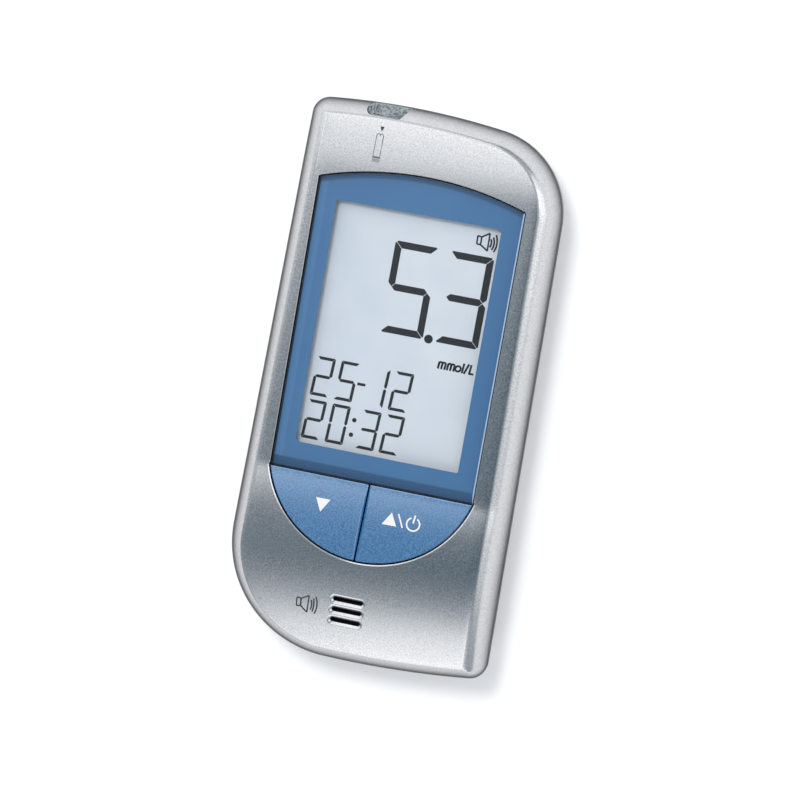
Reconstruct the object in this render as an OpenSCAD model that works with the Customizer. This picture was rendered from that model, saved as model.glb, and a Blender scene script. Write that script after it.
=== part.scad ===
// Hand-held blood glucose meter with a large display, two keys, a voice speaker,
// a test-strip port in its top edge and a sliding battery door in its back.
// Frame: the meter lies on its back. X is across, Y runs to the strip port and
// Z comes out of the display. The origin is under the middle of the meter.

/* [Body] */
// Length over both ends
body_l = 103; // [100:1:126]
// Width over the sides, half-way along
body_w = 50.1; // [49:0.1:62]
// How far the middle between the sides lies to the right, half-way along
side_shift = 0.15; // [0:0.05:0.3]
// Height of the display face above the table
face_h = 16.3; // [15.9:0.1:20]
// Height of the joint between the front and rear covers
split_h = 8.2; // [7.8:0.1:8.6]
// Thickness of the side walls
wall = 1.8; // [1.5:0.1:2.2]
// Thickness of the front wall
roof_t = 2.0; // [1.6:0.1:2.4]
// Thickness of the back wall
floor_t = 2.0; // [1.8:0.1:2.4]
// How far the front edge would reach inward if it rounded over fully
edge_reach = 6.1; // [4:0.1:7]
// How far the back edge rounds inward
back_reach = 6.0; // [4:0.25:7]
// Lean of the left side, wider towards the bottom end
left_lean = 1.25; // [0:0.05:1.5]
// Lean of the right side, wider towards the bottom end
right_lean = 0.8; // [0:0.05:1.5]

/* [Outline] */
// Radius of the top end
top_arc_r = 142; // [100:2:200]
// Place of the highest point of the top end, from the middle
top_apex_x = -7.4; // [-10:0.2:0]
// Radius of the bottom end
bottom_arc_r = 178; // [120:2:220]
// Place of the lowest point of the bottom end, from the middle
bottom_apex_x = -0.7; // [-3:0.1:3]
// Corner radius at the top left
corner_tl = 3.2; // [2.5:0.1:6]
// Corner radius at the top right
corner_tr = 15.6; // [8:0.2:17]
// Corner radius at the bottom left
corner_bl = 21.5; // [8:0.5:22]
// Corner radius at the bottom right
corner_br = 3.2; // [2.5:0.1:6]

/* [Face] */
// Distance of the fold across the face from the bottom end
fold_from_end = 34.8; // [33:0.1:36]
// Slope at which the lower face rises from the fold
fold_rise = 6; // [0:0.5:8]
// Radius of the lower face, seen from the side
lower_arc_r = 100; // [90:5:160]
// Distance from the top end at which the face starts to fall
crown_from_end = 13.5; // [10:0.5:16]
// Radius of the falling top of the face, seen from the side
crown_r = 55; // [45:5:90]

/* [Lens] */
// Place of the middle of the lens and keys across the meter
face_x = -0.3; // [-0.5:0.05:0.5]
// Width of the display lens
lens_w = 37.8; // [37:0.1:40]
// Length of the lens from the fold to its highest point
lens_l = 56.4; // [54:0.2:58]
// Rise of the curved top edge of the lens
lens_rise = 3.0; // [0.5:0.1:4]
// Radius of the two upper corners of the lens
lens_corner_r = 0.8; // [0.4:0.1:1.2]
// Thickness of the clear lens
lens_t = 1.35; // [1.1:0.05:1.6]
// Thickness of the printed border film under the lens
film_t = 0.15; // [0.1:0.05:0.2]
// Width of the bevel along the lower edge of the lens
lens_bevel_w = 1.8; // [1:0.1:2.5]
// Depth of that bevel
lens_bevel_h = 0.35; // [0.2:0.05:0.5]
// Thickness of the shelf that carries the lens
shelf_t = 1.0; // [0.8:0.1:1.2]
// Gap round the lens
lens_gap = 0.2; // [0.15:0.05:0.35]

/* [Display] */
// Width of the clear window
window_w = 30.5; // [29:0.1:31.5]
// Length of the clear window
window_l = 44.8; // [43:0.1:46]
// Distance from the fold to the clear window
window_from_fold = 5.0; // [4.4:0.1:5.6]
// Width of the display glass
glass_w = 35; // [33:0.1:35.2]
// Length of the front display glass
glass_l = 50; // [48.4:0.1:50.4]
// Distance from the fold to the front display glass
glass_from_fold = 1.5; // [1.3:0.1:1.9]
// Thickness of each display glass
glass_t = 0.9; // [0.7:0.05:1]
// Length of the contact ledge of the front glass
ledge_l = 2.6; // [2.4:0.1:3]
// Thickness of the reflector sheet
reflector_t = 0.2; // [0.1:0.05:0.3]
// Thickness of the foam gasket over the glass
gasket_t = 0.5; // [0.3:0.1:0.7]
// Width of the rubber connector under the contact ledge
zebra_w = 1.8; // [1.4:0.1:2]

/* [Keys] */
// Radius of the round lower edge of the two keys
key_r = 19.65; // [19.3:0.05:20.5]
// Distance from the fold to the lowest point of the keys
key_l = 14.4; // [13.6:0.05:15]
// Gap round each key and between the two
key_gap = 0.3; // [0.2:0.05:0.4]
// Place of the gap between the keys at the fold
key_split_x = -0.5; // [-1:0.05:0.5]
// Lean of that gap
key_split_lean = 1.4; // [0:0.1:2]
// Travel of each key
key_travel = 0.4; // [0.3:0.05:0.5]
// Width of the flange that holds each key under the front wall
key_flange = 0.9; // [0.6:0.1:1]
// Thickness of the top and skirt of each key
key_t = 1.3; // [1:0.1:1.5]
// Distance of each switch from the middle
switch_x = 8.5; // [7.5:0.1:9.5]
// Distance of the switches from the fold
switch_from_fold = 6.6; // [6:0.1:7.4]
// Side of the switch body
switch_w = 6; // [5:0.1:6.4]
// Height of the switch body
switch_h = 1.6; // [1.4:0.1:1.8]
// Diameter of the switch stem
stem_d = 3; // [2.4:0.1:3.4]

/* [Circuit board] */
// Height of the top of the board above the table
board_z = 10.6; // [10.4:0.1:10.8]
// Thickness of the board
board_t = 1.0; // [0.8:0.1:1.2]
// Width of the board
board_w = 44; // [43.6:0.1:44.4]
// Distance of the end of the board from the top end
board_from_end = 7.0; // [6.8:0.1:8]

/* [Strip port] */
// Place of the port from the middle
port_x = -9.4; // [-11:0.2:-6]
// Width of the test-strip slot
slot_w = 6.6; // [6:0.1:7]
// Height of the test-strip slot
slot_h = 0.9; // [0.7:0.05:1.1]
// Height of the bottom of the slot above the board
slot_rise = 0.9; // [0.8:0.1:1.2]
// Width of the notch in the front edge at its outside
notch_w = 7.7; // [7.4:0.1:8.2]
// Length of the notch inward from the end
notch_l = 2.5; // [2.2:0.1:2.8]
// Radius of the round left end of the notch
notch_r = 1.25; // [1:0.05:1.3]
// Drop of the ramp that leads the strip into its slot
ramp_drop = 1.3; // [0.5:0.1:1.5]

/* [Battery] */
// Diameter of each coin cell
cell_d = 20; // [16:0.5:20.5]
// Thickness of each coin cell
cell_h = 3.2; // [2.5:0.1:3.4]
// Distance between the centres of the cells
cell_pitch = 21.5; // [21.4:0.1:22]
// Distance of the lower cell from the bottom end
cell_from_end = 15.2; // [15:0.1:16]
// Clearance round each cell
cell_gap = 0.3; // [0.2:0.05:0.4]
// Width of the battery door
door_w = 25; // [24:0.5:28]
// Distance of the inner edge of the door from the bottom end
door_l = 49.3; // [49:0.1:52]
// Thickness of the door
door_t = 1.6; // [1.4:0.1:1.8]
// Width of the tongue along each side of the door
tongue_w = 1.0; // [0.8:0.1:1.3]
// Running clearance round the door
door_gap = 0.1; // [0.08:0.01:0.2]

/* [Speaker] */
// Place of the speaker from the middle
speaker_x = -0.8; // [-2:0.1:2]
// Distance of the speaker from the bottom end
speaker_from_end = 10.6; // [10.3:0.1:11]
// Diameter of the speaker
speaker_d = 16; // [14:0.5:16.5]
// Height of the front of the speaker above the table
speaker_z = 12.0; // [11.6:0.1:12.1]
// Depth of the speaker basket
speaker_h = 2.2; // [2:0.1:2.4]
// Length of each sound slot
sound_slot_l = 5.9; // [5:0.1:7]
// Width of each sound slot
sound_slot_w = 1.05; // [0.8:0.05:1.2]
// Distance between the sound slots
sound_slot_pitch = 2.0; // [1.8:0.1:2.4]
// Number of sound slots
sound_slot_count = 3; // [2:1:4]

/* [Fasteners] */
// Diameter of the case screw shank
case_screw_d = 1.9; // [1.7:0.1:2.2]
// Diameter of the case screw head
case_head_d = 3.8; // [3.4:0.1:4]
// Length of the case screw shank
case_screw_l = 7; // [6:0.5:8]
// Diameter of the posts that take the case screws
post_d = 5.6; // [5.2:0.1:6]
// Diameter of the board screw shank
board_screw_d = 1.3; // [1.1:0.1:1.4]
// Diameter of the posts that take the board screws
board_post_d = 2.8; // [2.6:0.1:3]

/* [Hidden] */
$fn = 48;
EPS = 0.01;                                  // overshoot of cuts
FIT = 0.05;                                  // running clearance of pins in bores
SEAT = 0.1;                                  // clearance between seated pieces

// Ends and fold
top_y = body_l / 2;
bottom_y = -body_l / 2;
fold_y = bottom_y + fold_from_end;
crown_y = top_y - crown_from_end;

// Heights
shelf_top = face_h - lens_t - film_t;
shelf_z = shelf_top - shelf_t;
glass_top = shelf_z - gasket_t;
board_bottom = board_z - board_t;
slot_z = board_z + slot_rise;
roof_z = floor_t + cell_h + 1.1;             // underside of the battery compartment roof
cell_z = floor_t - SEAT;                     // the cells rest just above the door
post_split = split_h + 0.6;                  // where front and rear screw posts meet
case_seat_z = 3.2;                           // seat of the case screw heads
roof_top = roof_z + 1.2;                     // top of the battery compartment
cell_top = cell_z + cell_h;

// Places
cell_ys = [bottom_y + cell_from_end, bottom_y + cell_from_end + cell_pitch];
door_y = bottom_y + door_l;
speaker_y = bottom_y + speaker_from_end;
switch_y = fold_y - switch_from_fold;
window_y = fold_y + window_from_fold;
glass_y = fold_y + glass_from_fold;
post_inset = 5.9;                            // case screws from the sides
post_end_inset = 9.6;                        // and from the ends
case_screw_places = [
    [-body_w / 2 + post_inset, top_y - post_end_inset],
    [body_w / 2 - post_inset - 1.3, top_y - post_end_inset - 0.9],
    [body_w / 2 - post_inset, bottom_y + post_end_inset],
    [-body_w / 2 + post_inset + 2.3, bottom_y + post_end_inset + 1.9]
];
board_post_x = board_w / 2 - 1.45;
board_screw_places = [
    for (x = [-board_post_x, board_post_x], y = [fold_y + 5, fold_y + 43]) [x, y]
];
board_top_y = top_y - board_from_end;
board_bottom_y = fold_y - key_l;

// ---- outline: two leaning sides, two gently curved ends, four rounded corners ----

LEAST_CORNER = 0.5;                          // sharpest corner of an inset outline

// A side is -1 on the left and 1 on the right; an end is -1 at the bottom and 1 at the top.
function lean(side) = side > 0 ? right_lean : left_lean;
function side_point(side) = [side * body_w / 2 + side_shift, 0];
function side_inward(side) = [-side * cos(lean(side)), -sin(lean(side))];
function side_up(side) = [-side * sin(lean(side)), cos(lean(side))];
function end_r(end) = end > 0 ? top_arc_r : bottom_arc_r;
function end_centre(end) = end > 0 ?
    [top_apex_x, top_y - top_arc_r] : [bottom_apex_x, bottom_y + bottom_arc_r];
function corner_r(side, end, inset) = max(LEAST_CORNER, (end > 0 ?
    (side > 0 ? corner_tr : corner_tl) : (side > 0 ? corner_br : corner_bl)) - inset);

// Centre of the corner arc that touches a side moved in by inset and an end by end_inset
function corner_centre(side, end, inset, end_inset) =
    let (r = corner_r(side, end, inset),
         start = side_point(side) + (inset + r) * side_inward(side),
         from_end = start - end_centre(end),
         along = from_end * side_up(side),
         room = along * along - from_end * from_end + pow(end_r(end) - end_inset - r, 2))
    start + (end * sqrt(room) - along) * side_up(side);

function full_turn(a) = a < 0 ? a + 360 : a;
function end_angle(side, end, inset, end_inset) =
    let (v = corner_centre(side, end, inset, end_inset) - end_centre(end))
    full_turn(atan2(v.y, v.x));
function arc(centre, r, from, to, n) =
    [for (i = [0:n]) let (a = from + (to - from) * i / n) centre + r * [cos(a), sin(a)]];
function corner(side, end, inset, end_inset, from, to, n) =
    arc(corner_centre(side, end, inset, end_inset), corner_r(side, end, inset), from, to, n);

SIDE_STEPS = 4;
// Points inside a side between two ends, evenly spaced to the fold and from it
function side_points(side, inset, from, to) =
    let (start = side_point(side) + inset * side_inward(side),
         up = side_up(side),
         bend = start + up * ((fold_y - start.y) / up.y))
    concat([for (i = [1:SIDE_STEPS]) from + (bend - from) * i / SIDE_STEPS],
           [for (i = [1:SIDE_STEPS - 1]) bend + (to - bend) * i / SIDE_STEPS]);

// The whole outline, with its sides moved in by inset and its ends by end_inset, which is the same
// unless it is given, counter-clockwise from the middle of the top right corner
function outline(inset, end_inset = undef) =
    let (from_end = is_undef(end_inset) ? inset : end_inset,
         right_a = lean(1),
         left_a = 180 - lean(-1),
         top_a = [for (side = [1, -1]) end_angle(side, 1, inset, from_end)],
         low_a = [for (side = [-1, 1]) end_angle(side, -1, inset, from_end)],
         tr = corner(1, 1, inset, from_end, right_a, top_a[0], 10),
         tl = corner(-1, 1, inset, from_end, top_a[1], left_a, 5),
         bl = corner(-1, -1, inset, from_end, left_a, low_a[0], 12),
         br = corner(1, -1, inset, from_end, low_a[1], 360 + right_a, 5),
         top = arc(end_centre(1), top_arc_r - from_end, top_a[0], top_a[1], 6),
         bottom = arc(end_centre(-1), bottom_arc_r - from_end, low_a[0], low_a[1], 6))
    concat([for (i = [5:10]) tr[i]], [for (i = [1:5]) top[i]],
           tl, side_points(-1, inset, tl[5], bl[0]),
           bl, [for (i = [1:5]) bottom[i]],
           br, side_points(1, inset, br[5], tr[0]), [for (i = [0:4]) tr[i]]);

// ---- face: flat over the display, falling at the top, folded and humped below ----

hump_y = fold_y - lower_arc_r * sin(fold_rise);
function face_at(y) = face_h + (
    y > crown_y ? sqrt(crown_r * crown_r - pow(y - crown_y, 2)) - crown_r :
    y < fold_y ? sqrt(pow(lower_arc_r, 2) - pow(y - hump_y, 2)) - lower_arc_r * cos(fold_rise) : 0);

FACE_OVER = 3;                               // how far the side profile runs past the ends
FACE_STEPS = 8;
function face_points(from_y, to_y) =
    [for (i = [0:FACE_STEPS]) let (y = from_y + (to_y - from_y) * i / FACE_STEPS) [y, face_at(y)]];
face_line = concat(face_points(bottom_y - FACE_OVER, fold_y), face_points(crown_y, top_y + FACE_OVER));

// Everything under the face, lowered by drop
module under_face(drop = 0) {
    rotate([90, 0, 90])
        linear_extrude(body_w + 20, center = true)
            polygon(concat([for (p = face_line) [p.x, p.y - drop]],
                           [[top_y + FACE_OVER, -1], [bottom_y - FACE_OVER, -1]]));
}

// ---- forms of the two covers ----

// A closed solid through rings of equal length, from the lowest to the highest
module loft(rings) {
    n = len(rings[0]);
    top = len(rings) - 1;
    polyhedron(
        points = [for (ring = rings) each ring],
        faces = concat(
            [[for (i = [0:n - 1]) i]],
            [[for (i = [n - 1:-1:0]) top * n + i]],
            [for (k = [0:top - 1], i = [0:n - 1])
                [k * n + i, (k + 1) * n + i, k * n + (i + 1) % n]],
            [for (k = [0:top - 1], i = [0:n - 1])
                [(k + 1) * n + i, (k + 1) * n + (i + 1) % n, k * n + (i + 1) % n]]));
}

FRONT_SHARE = 1.083;                         // full height of the front edge over its height
END_SHARE = 0.78;                            // reach of the front edge at the ends over the sides
FRONT_STEPS = [0, 0.2, 0.45, 0.65, 0.8, 0.92, 1, 1.06];
function front_inset(u) = edge_reach * (1 - sqrt(1 - pow(u / FRONT_SHARE, 2)));
function front_outline(u, inset) =
    outline(front_inset(u) + inset, END_SHARE * front_inset(u) + inset);
function front_ring(u, inset) =
    [for (p = front_outline(u, inset)) [p.x, p.y, split_h + u * (face_at(p.y) - split_h)]];
function flat_ring(inset, z) = [for (p = outline(inset)) [p.x, p.y, z]];

module front_form(inset = 0, drop = 0) {
    last = FRONT_STEPS[len(FRONT_STEPS) - 1];
    intersection() {
        loft(concat([for (u = FRONT_STEPS) front_ring(u, inset)],
                    [[for (p = front_outline(last, inset + 0.1)) [p.x, p.y, face_h + 3]]]));
        under_face(drop);
    }
}

BACK_POWER = 2.4;                            // squareness of the rounded back edge
BACK_STEPS = [1, 0.98, 0.93, 0.84, 0.7, 0.45, 0];
function back_inset(u) = back_reach * (1 - pow(1 - pow(u, BACK_POWER), 1 / BACK_POWER));

module rear_form(inset = 0, floor = 0) {
    loft([for (u = BACK_STEPS) flat_ring(back_inset(u) + inset, split_h - u * (split_h - floor))]);
}

module at_each(places) {
    for (p = places) translate([p.x, p.y, 0]) children();
}

// ---- display opening, lens and keys seen from the front ----

lens_side_l = lens_l - lens_rise;
lens_arc_r = (pow(lens_w / 2, 2) + pow(lens_rise, 2)) / (2 * lens_rise);

// Outline of the lens, moved out by grow
module lens_outline(grow = 0) {
    half = lens_w / 2 + grow;
    top_r = lens_arc_r + grow;
    r = lens_corner_r + grow;
    corner_y = sqrt(pow(top_r - r, 2) - pow(half - r, 2));
    tip = top_r / (top_r - r) * [half - r, corner_y];
    translate([face_x, fold_y + lens_l - lens_arc_r])
        difference() {
            intersection() {
                translate([-half, lens_arc_r - lens_l - grow]) square([2 * half, lens_l + 2 * grow]);
                circle(r = top_r, $fn = 160);
            }
            // what lies outside the two rounded corners
            for (side = [-1, 1])
                scale([side, 1])
                    difference() {
                        polygon([[half - r, corner_y], [half + 1, corner_y],
                                 [half + 1, tip.y + 1], [tip.x, tip.y + 1], tip]);
                        translate([half - r, corner_y]) circle(r = r, $fn = 32);
                    }
        }
}

// Outline of both keys together, moved out by grow
module keys_outline(grow = 0) {
    intersection() {
        translate([face_x, fold_y - key_l + key_r]) circle(r = key_r + grow, $fn = 96);
        translate([-body_w / 2, fold_y - key_l - 2 * grow - 1])
            square([body_w, key_l + 2 * grow + 1]);
    }
}

// Outline of one key, moved out by grow except along the fold and the gap between the keys
module key_outline(side, grow = 0) {
    intersection() {
        keys_outline(grow);
        translate([-body_w / 2, fold_y - key_l - 2]) square([body_w, key_l + 2 - key_gap / 2]);
        translate([key_split_x, fold_y])
            rotate(-key_split_lean)
                translate([side > 0 ? key_gap / 2 : -body_w / 2, -key_l - 3])
                    square([body_w / 2 - key_gap / 2, key_l + 5]);
    }
}

module window(grow, length_grow) {
    translate([face_x - window_w / 2 - grow, window_y - length_grow])
        square([window_w + 2 * grow, window_l + 2 * length_grow]);
}

// ---- front cover ----

speaker_wall = 1.1;                          // ring that holds the speaker

module sound_slot_cuts() {
    reach = sound_slot_l / 2 - sound_slot_w / 2;
    for (i = [0:sound_slot_count - 1])
        translate([speaker_x, speaker_y + (i - (sound_slot_count - 1) / 2) * sound_slot_pitch,
                   speaker_z]) {
            for (x = [-reach, reach])
                translate([x, 0, 0]) cylinder(d = sound_slot_w, h = face_h, $fn = 24);
            translate([-reach, -sound_slot_w / 2, 0]) cube([2 * reach, sound_slot_w, face_h]);
        }
}

// Outline of the notch in the front edge: round at its left end, slanted at its right end
function notch_points() =
    let (left = -notch_w / 2, low = top_y - notch_l)
    concat([[left + notch_r, top_y + 1]],
           arc([left + notch_r, low + notch_r], notch_r, 90, 270, 12),
           [[notch_w / 2 - 1.3, low], [notch_w / 2 - 0.6, low + 1.1],
            [notch_w / 2, low + 2.1], [notch_w / 2, top_y + 1]]);

guide_w = slot_w + 2.4;
guide_h = slot_h + 2.9;
guide_z = slot_z - 1.9;
guide_end_y = top_y - wall;                  // outer end of the part behind the end wall

module port_notch() {
    translate([port_x, 0, guide_z]) linear_extrude(face_h) polygon(notch_points());
}

// Everything over the floor of the slot and the ramp in front of it
module over_ramp() {
    ramp_y = top_y - notch_l + 0.3;
    translate([port_x, 0, 0])
        rotate([90, 0, 90])
            linear_extrude(2 * notch_w, center = true)
                polygon([[ramp_y - 2, face_h], [ramp_y - 2, slot_z], [ramp_y, slot_z],
                         [top_y + 0.3, slot_z - ramp_drop], [top_y + 0.3, face_h]]);
}

// Part of the strip guide behind the end wall, moved out by grow
module guide_back(grow = 0) {
    translate([port_x - guide_w / 2 - grow, board_top_y, guide_z - grow])
        cube([guide_w + 2 * grow, guide_end_y + grow - board_top_y, guide_h + 2 * grow]);
}

module front_cover() {
    color("#a9b2b8")
        difference() {
            union() {
                difference() {
                    front_form();
                    translate([0, 0, -EPS]) front_form(wall, roof_t);
                }
                intersection() {
                    front_form();
                    union() {
                        translate([0, 0, shelf_z])
                            linear_extrude(face_h - shelf_z - 0.4) lens_outline(1.4);
                        at_each(case_screw_places)
                            translate([0, 0, post_split]) cylinder(d = post_d, h = face_h);
                        at_each(board_screw_places)
                            translate([0, 0, board_z]) cylinder(d = board_post_d, h = face_h);
                        translate([speaker_x, speaker_y, speaker_z - speaker_h + 0.4])
                            cylinder(d = speaker_d + 2 * SEAT + 2 * speaker_wall, h = face_h);
                    }
                }
            }
            // recess and window of the lens
            translate([0, 0, shelf_top]) linear_extrude(face_h) lens_outline(lens_gap);
            translate([0, 0, shelf_z - EPS]) linear_extrude(face_h) window(0.5, 0.5);
            // opening for the keys, and room for their flanges
            translate([0, 0, split_h]) linear_extrude(face_h) keys_outline(key_gap);
            translate([0, 0, split_h])
                linear_extrude(shelf_z + 0.3 - split_h) keys_outline(key_gap + key_flange);
            // speaker seat and sound slots
            translate([speaker_x, speaker_y, 0]) {
                cylinder(d = speaker_d + 2 * SEAT, h = speaker_z + 0.4);
                cylinder(d = speaker_d - 2.4, h = speaker_z + 1.2);
            }
            sound_slot_cuts();
            // screw holes
            at_each(case_screw_places) cylinder(d = case_screw_d + 2 * FIT, h = post_split + 5);
            at_each(board_screw_places) cylinder(d = board_screw_d + 2 * FIT, h = board_z + 3);
            // strip port
            port_notch();
            guide_back(SEAT);
            // room for the lip of the rear cover
            lip_room();
        }
}

// ---- rear cover and door ----

lip_h = 1.2;
lip_t = 0.8;

// Step round the inside of the front cover that takes the lip
module lip_room() {
    translate([0, 0, split_h - EPS])
        linear_extrude(lip_h + 0.1)
            difference() {
                polygon(outline(wall - lip_t - SEAT));
                polygon(outline(wall + 0.5));
            }
}

compartment_wall = roof_top - roof_z;
compartment_half = cell_d / 2 + cell_gap + compartment_wall;

module compartment() {
    translate([-compartment_half, cell_ys[0] - compartment_half, floor_t - EPS])
        cube([2 * compartment_half, cell_pitch + 2 * compartment_half, roof_top - floor_t]);
}

// Space of the door in the back wall, moved out by grow
module door_space(grow) {
    tongue_z = door_t - 0.9;
    translate([-door_w / 2 - grow, bottom_y - 1, -1])
        cube([door_w + 2 * grow, door_y + grow - bottom_y + 1, door_t + grow + 1]);
    translate([-door_w / 2 - tongue_w - grow, bottom_y - 1, tongue_z - grow])
        cube([door_w + 2 * tongue_w + 2 * grow, door_y + grow - bottom_y + 1, 0.9 + 2 * grow]);
    translate([-door_w / 4 - grow, door_y - 1, tongue_z - grow])
        cube([door_w / 2 + 2 * grow, 2 + grow, 0.9 + 2 * grow]);
}

module rear_cover() {
    color("#a3acb2")
        difference() {
            union() {
                difference() {
                    rear_form();
                    translate([0, 0, EPS]) rear_form(wall, floor_t);
                }
                // lip that centres the front cover
                translate([0, 0, split_h - 2])
                    linear_extrude(lip_h + 2)
                        difference() {
                            polygon(outline(wall - lip_t));
                            polygon(outline(wall));
                        }
                intersection() {
                    rear_form();
                    compartment();
                }
                intersection() {
                    union() {
                        rear_form();
                        translate([0, 0, split_h - 1]) linear_extrude(2) polygon(outline(wall));
                    }
                    at_each(case_screw_places) cylinder(d = post_d, h = post_split);
                }
            }
            door_space(door_gap);
            for (y = cell_ys)
                translate([0, y, floor_t - 1]) cylinder(r = cell_d / 2 + cell_gap, h = roof_z - floor_t + 1);
            // slots for the tails of the contacts
            for (y = cell_ys) {
                translate([negative_x - SEAT, y - contact_w / 2 - SEAT, floor_t])
                    cube([contact_t + 2 * SEAT, contact_w + 2 * SEAT, split_h]);
                translate([cell_d / 2, y - contact_w / 2 - SEAT, floor_t])
                    cube([cell_gap + 2 * contact_t, contact_w + 2 * SEAT, split_h]);
            }
            at_each(case_screw_places) {
                translate([0, 0, -1]) cylinder(d = case_head_d + 0.4, h = case_seat_z + 1);
                cylinder(d = case_screw_d + 4 * FIT, h = split_h + 2);
            }
        }
}

module battery_door() {
    rib_count = 5;
    color("#a3acb2")
        difference() {
            intersection() {
                rear_form();
                door_space(0);
            }
            // grooves of the thumb grip
            for (i = [0:rib_count - 1])
                translate([-6, door_y - 6 - 1.6 * i, -1]) cube([12, 0.8, 1.4]);
        }
}

// ---- battery contacts ----

contact_t = 0.3;
contact_w = 3;
negative_x = -7;

// Arm on top of the compartment from a cell to the board, and the riser to the board
module contact_tail(x, y) {
    riser_y = max(y, board_bottom_y + 1.2);
    translate([x, y - contact_w / 2, roof_top]) cube([contact_t, contact_w, contact_t]);
    translate([x, y, roof_top])
        cube([contact_w, riser_y - y + contact_t, contact_t]);
    translate([x, riser_y, roof_top])
        cube([contact_w, contact_t, board_bottom - roof_top]);
}

module negative_contacts() {
    color("#c9ccd0")
        for (y = cell_ys) {
            translate([negative_x, y - contact_w / 2, roof_z - contact_t])
                cube([-negative_x, contact_w, contact_t]);
            translate([negative_x, y - contact_w / 2, roof_z - contact_t])
                cube([contact_t, contact_w, roof_top - roof_z + 2 * contact_t]);
            // finger that presses on the cell
            translate([0, y + contact_w / 2, 0])
                rotate([90, 0, 0])
                    linear_extrude(contact_w)
                        polygon([[-0.5, roof_z - contact_t], [0, roof_z],
                                 [4.5, cell_top + contact_t + FIT], [4.5, cell_top + FIT]]);
            contact_tail(negative_x, y);
        }
}

module positive_contacts() {
    color("#c9ccd0")
        for (y = cell_ys) {
            translate([cell_d / 2 + FIT, y - contact_w / 2, floor_t + 0.6])
                cube([contact_t, contact_w, roof_top - floor_t - 0.6 + contact_t]);
            mirror([1, 0, 0]) contact_tail(-cell_d / 2 - FIT - contact_t, y);
        }
}

module cell(y) {
    rim = 0.9;
    color("#c4c6c8")
        translate([0, y, cell_z]) {
            cylinder(d = cell_d, h = cell_h - 0.5, $fn = 96);
            cylinder(d = cell_d - 2 * rim, h = cell_h, $fn = 96);
        }
}

// ---- lens and display ----

module display_lens() {
    lens_z = shelf_top + film_t;
    color("#4b76a3", 0.5)
        difference() {
            translate([0, 0, lens_z]) linear_extrude(face_h - lens_z) lens_outline();
            // bevel along the fold
            translate([0, fold_y, face_h])
                rotate([90, 0, 90])
                    linear_extrude(body_w, center = true)
                        polygon([[-1, 1], [-1, -lens_bevel_h - lens_bevel_h / lens_bevel_w],
                                 [lens_bevel_w, 0], [lens_bevel_w, 1]]);
        }
}

module display_border() {
    color("#4b76a3")
        translate([0, 0, shelf_top])
            linear_extrude(film_t)
                difference() {
                    lens_outline(-SEAT);
                    window(0, 0);
                }
}

module display_gasket() {
    color("#2b2d30")
        translate([0, 0, glass_top])
            linear_extrude(gasket_t)
                difference() {
                    window(1.9, 1.6);
                    window(0.7, 0.7);
                }
}

module lcd_front_glass() {
    color("#d3dbe2")
        translate([-glass_w / 2, glass_y, glass_top - glass_t]) cube([glass_w, glass_l, glass_t]);
}

module lcd_rear_glass() {
    color("#c6cdd2")
        translate([-glass_w / 2, glass_y + ledge_l, glass_top - 2 * glass_t])
            cube([glass_w, glass_l - ledge_l, glass_t]);
}

module lcd_reflector() {
    color("#e4e8ea")
        translate([-glass_w / 2 + 0.3, glass_y + ledge_l + 0.3, glass_top - 2 * glass_t - reflector_t])
            cube([glass_w - 0.6, glass_l - ledge_l - 0.6, reflector_t]);
}

zebra_margin = 0.4;

module zebra_strip() {
    color("#3a3c40")
        translate([-glass_w / 2 + 2.5, glass_y + zebra_margin, board_z])
            cube([glass_w - 5, zebra_w, glass_top - glass_t - board_z]);
}

// Box over the plan of a display glass, moved out by grow
module glass_room(from_y, length, z, grow) {
    translate([-glass_w / 2 - grow, from_y - grow, z])
        cube([glass_w + 2 * grow, length + 2 * grow, face_h]);
}

module lcd_frame() {
    rim = 1.5;
    end_rim = 1.2;
    floor_z = glass_top - 2 * glass_t - reflector_t;
    color("#e9ebec")
        difference() {
            translate([-glass_w / 2 - rim, glass_y - end_rim, board_z])
                cube([glass_w + 2 * rim, glass_l + rim + end_rim, glass_top - board_z]);
            glass_room(glass_y, glass_l, glass_top - glass_t, SEAT);
            glass_room(glass_y + ledge_l, glass_l - ledge_l, floor_z, SEAT);
            // opening under the glass
            glass_room(glass_y + ledge_l + 2, glass_l - ledge_l - 4, board_z - 1, -2);
            // slot for the rubber connector
            translate([-glass_w / 2 + 2.5 - SEAT, glass_y + zebra_margin - SEAT, board_z - 1])
                cube([glass_w - 5 + 2 * SEAT, zebra_w + 2 * SEAT, face_h]);
        }
}

// ---- keys and switches ----

stem_top = board_z + switch_h + 0.8;
flange_t = 0.9;
flange_top = shelf_z + 0.1;

module key(side) {
    hollow_top = flange_top + 0.7;
    color("#6f9bc6") {
        difference() {
            intersection() {
                union() {
                    translate([0, 0, flange_top - flange_t])
                        linear_extrude(face_h) key_outline(side);
                    translate([0, 0, flange_top - flange_t])
                        linear_extrude(flange_t) key_outline(side, key_flange);
                }
                under_face();
            }
            translate([0, 0, board_z])
                linear_extrude(hollow_top - board_z) offset(delta = -key_t) key_outline(side);
        }
        // post that presses the switch
        translate([side * switch_x, switch_y, stem_top]) cylinder(d = 4, h = hollow_top - stem_top + EPS);
    }
}

module switch_bodies() {
    color("#2f3134")
        for (side = [-1, 1])
            translate([side * switch_x, switch_y, board_z])
                difference() {
                    translate([-switch_w / 2, -switch_w / 2, 0]) cube([switch_w, switch_w, switch_h]);
                    translate([0, 0, 0.4]) cylinder(d = stem_d + 2 * FIT, h = switch_h);
                }
}

module switch_stem(side) {
    color("#1d1e20")
        translate([side * switch_x, switch_y, board_z + key_travel + 0.5])
            cylinder(d = stem_d, h = stem_top - board_z - key_travel - 0.5);
}

// ---- circuit board and what is on it ----

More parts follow.
